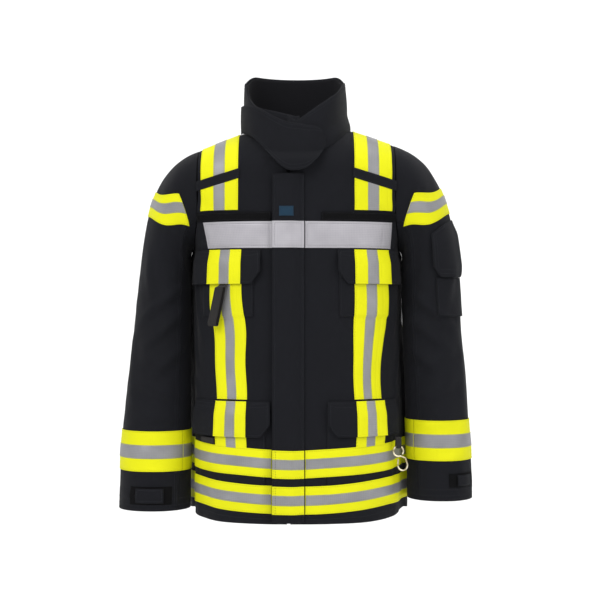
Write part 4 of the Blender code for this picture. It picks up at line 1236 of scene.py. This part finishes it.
def build_loops():
    arch = []
    for step in range(9):
        turn = pi * step / 8
        arch.append((-0.022 * cos(turn), -0.0004, -0.0155 + 0.015 * sin(turn)))
    strap("hanger_loop_webbing", arch, (0, 1, 0), 0.008, 0.0016, "root", ["hanger_loop"])
    at = local_frame(-0.136, -0.29, 0.0165)
    loop = [placed(at, 0.006 - 0.0026 * step, 0.0039, -0.004 - 0.011 * step) for step in range(7)]
    for step in range(1, 4):
        turn = pi * step / 4
        loop.append(placed(at, -0.0096, 0.0045 * cos(turn), -0.07 - 0.0045 * sin(turn)))
    loop += [placed(at, -0.0096 + 0.0026 * step, -0.0039, -0.07 + 0.011 * step) for step in range(7)]
    root = [placed(at, 0.0078, -0.0115, 0.009), placed(at, 0.0068, -0.0098, 0.001)]
    root += [placed(at, 0.0062, -0.003, -0.0035), placed(at, 0.006, 0.002, -0.0045)]
    strap("webbing_loop_root", root, at[1], 0.018, 0.0012, "root", [])
    surface = strap("webbing_loop_strap", loop, at[1], 0.018, 0.0012, "webbing_loop", ["webbing_loop"])
    for u in (0.12, 0.88):
        seam(surface, (u, 0.01), (u, 0.45), 0.0012, "webbing_loop")
    for v in (0.02, 0.04):
        seam(surface, (0.1, v), (0.9, v), 0.0012, "webbing_loop", pitch=0.0022)
    tail = front_patch(-0.172, -0.1465, -0.590, -0.5735)
    sheet("pocket_tab_right", over(tail, 0.0062), "webbing", "root", 0.0018, (), 0.002)
    eye_r, eye_drop, gap = 0.0095, 0.027, 0.0037
    here, tangent, out = local_frame(0.172, -0.574, 0.0205)
    out = unit(mix(out, np.array([0, -1.0, 0]), 0.8))
    at = (here, np.cross([0, 0, 1.0], out), out)
    fold_z = eye_r - eye_drop
    fold = [placed(at, 0, gap, -0.001 + (fold_z + 0.001) * step / 3) for step in range(4)]
    for step in range(1, 6):
        turn = pi * step / 6
        fold.append(placed(at, 0, gap * cos(turn), fold_z - gap * sin(turn)))
    fold += [placed(at, 0, -gap, fold_z + (-0.001 - fold_z) * step / 3) for step in range(4)]
    surface = strap("hook_tab_webbing", fold, at[1], 0.01, 0.001, "hook_tab", ["hook_tab"])
    for v in (0.12, 0.2):
        seam(surface, (0.12, v), (0.88, v), 0.001, "hook_tab", pitch=0.002)
    for node in ("snap_hook", "snap_hook_gate"):
        give(node, "hook")


# ---- Camera, light and floor -------------------------------------------------
def build_stage():
    seams = Vector((0.0067, SEAM_Y, -0.337))
    distance = 2.72
    width = 1.152  # metres across the picture at the side seams
    lens = bpy.data.cameras.new("camera")
    lens.sensor_width = 36
    lens.lens = 36 * distance / width
    camera = bpy.data.objects.new("camera", lens)
    camera.location = seams + Vector((0, -distance, 0))
    camera.rotation_euler = (pi / 2, 0, 0)
    SCENE.collection.objects.link(camera)
    SCENE.camera = camera

    floor_z, back, reach, radius = -1.35, 3.2, 9.0, 1.6
    profile = [(-reach, floor_z), (back - radius, floor_z)]
    for step in range(1, 13):
        turn = pi / 2 * step / 12
        profile.append((back - radius + radius * sin(turn), floor_z + radius * (1 - cos(turn))))
    profile.append((back, 7.0))
    mesh = bpy.data.meshes.new("backdrop")
    vertices = [(side * reach, y, z) for y, z in profile for side in (-1, 1)]
    faces = [(2 * i, 2 * i + 1, 2 * i + 3, 2 * i + 2) for i in range(len(profile) - 1)]
    mesh.from_pydata(vertices, [], faces)
    mesh.shade_smooth()
    backdrop = bpy.data.objects.new("backdrop", mesh)
    SCENE.collection.objects.link(backdrop)
    paper = bpy.data.materials.new("pale_paper")
    paper.use_nodes = True
    shader = paper.node_tree.nodes["Principled BSDF"]
    shader.inputs["Base Color"].default_value = (0.93, 0.93, 0.93, 1)
    shader.inputs["Roughness"].default_value = 0.95
    mesh.materials.append(paper)
    backdrop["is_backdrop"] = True

    world = bpy.data.worlds.new("studio")
    world.use_nodes = True
    world.node_tree.nodes["Background"].inputs["Color"].default_value = (1, 1, 1, 1)
    world.node_tree.nodes["Background"].inputs["Strength"].default_value = 0.95
    SCENE.world = world
    for name, place, size, power in (
        ("key", (-1.6, -2.6, 1.5), 1.6, 55),
        ("fill", (2.2, -2.2, 0.5), 2.0, 22),
        ("top", (0.2, -0.3, 2.4), 1.5, 30),
    ):
        light = bpy.data.lights.new(name, "AREA")
        light.size = size
        light.energy = power
        lamp = bpy.data.objects.new(name, light)
        lamp.location = place
        aim = Vector((0, SEAM_Y, -0.35)) - lamp.location
        lamp.rotation_euler = aim.to_track_quat("-Z", "Y").to_euler()
        SCENE.collection.objects.link(lamp)
    SCENE.view_settings.view_transform = "Standard"


build_stage()
build_shell()
build_collar()
build_closure()
build_pockets()
build_sleeve_pocket()
build_front_trim()
build_shoulders()
around("hem_trim_upper", UPPER_HEM_H)
around("hem_trim_lower", LOWER_HEM_H)
build_sleeve_trim()
build_back_band()
build_loops()
build_stitches()

sizes = {"cad": [[float(c) for c in corner] for corner in CAD_BOX]}
sizes["visual"] = [[float(c) for c in corner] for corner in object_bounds()]
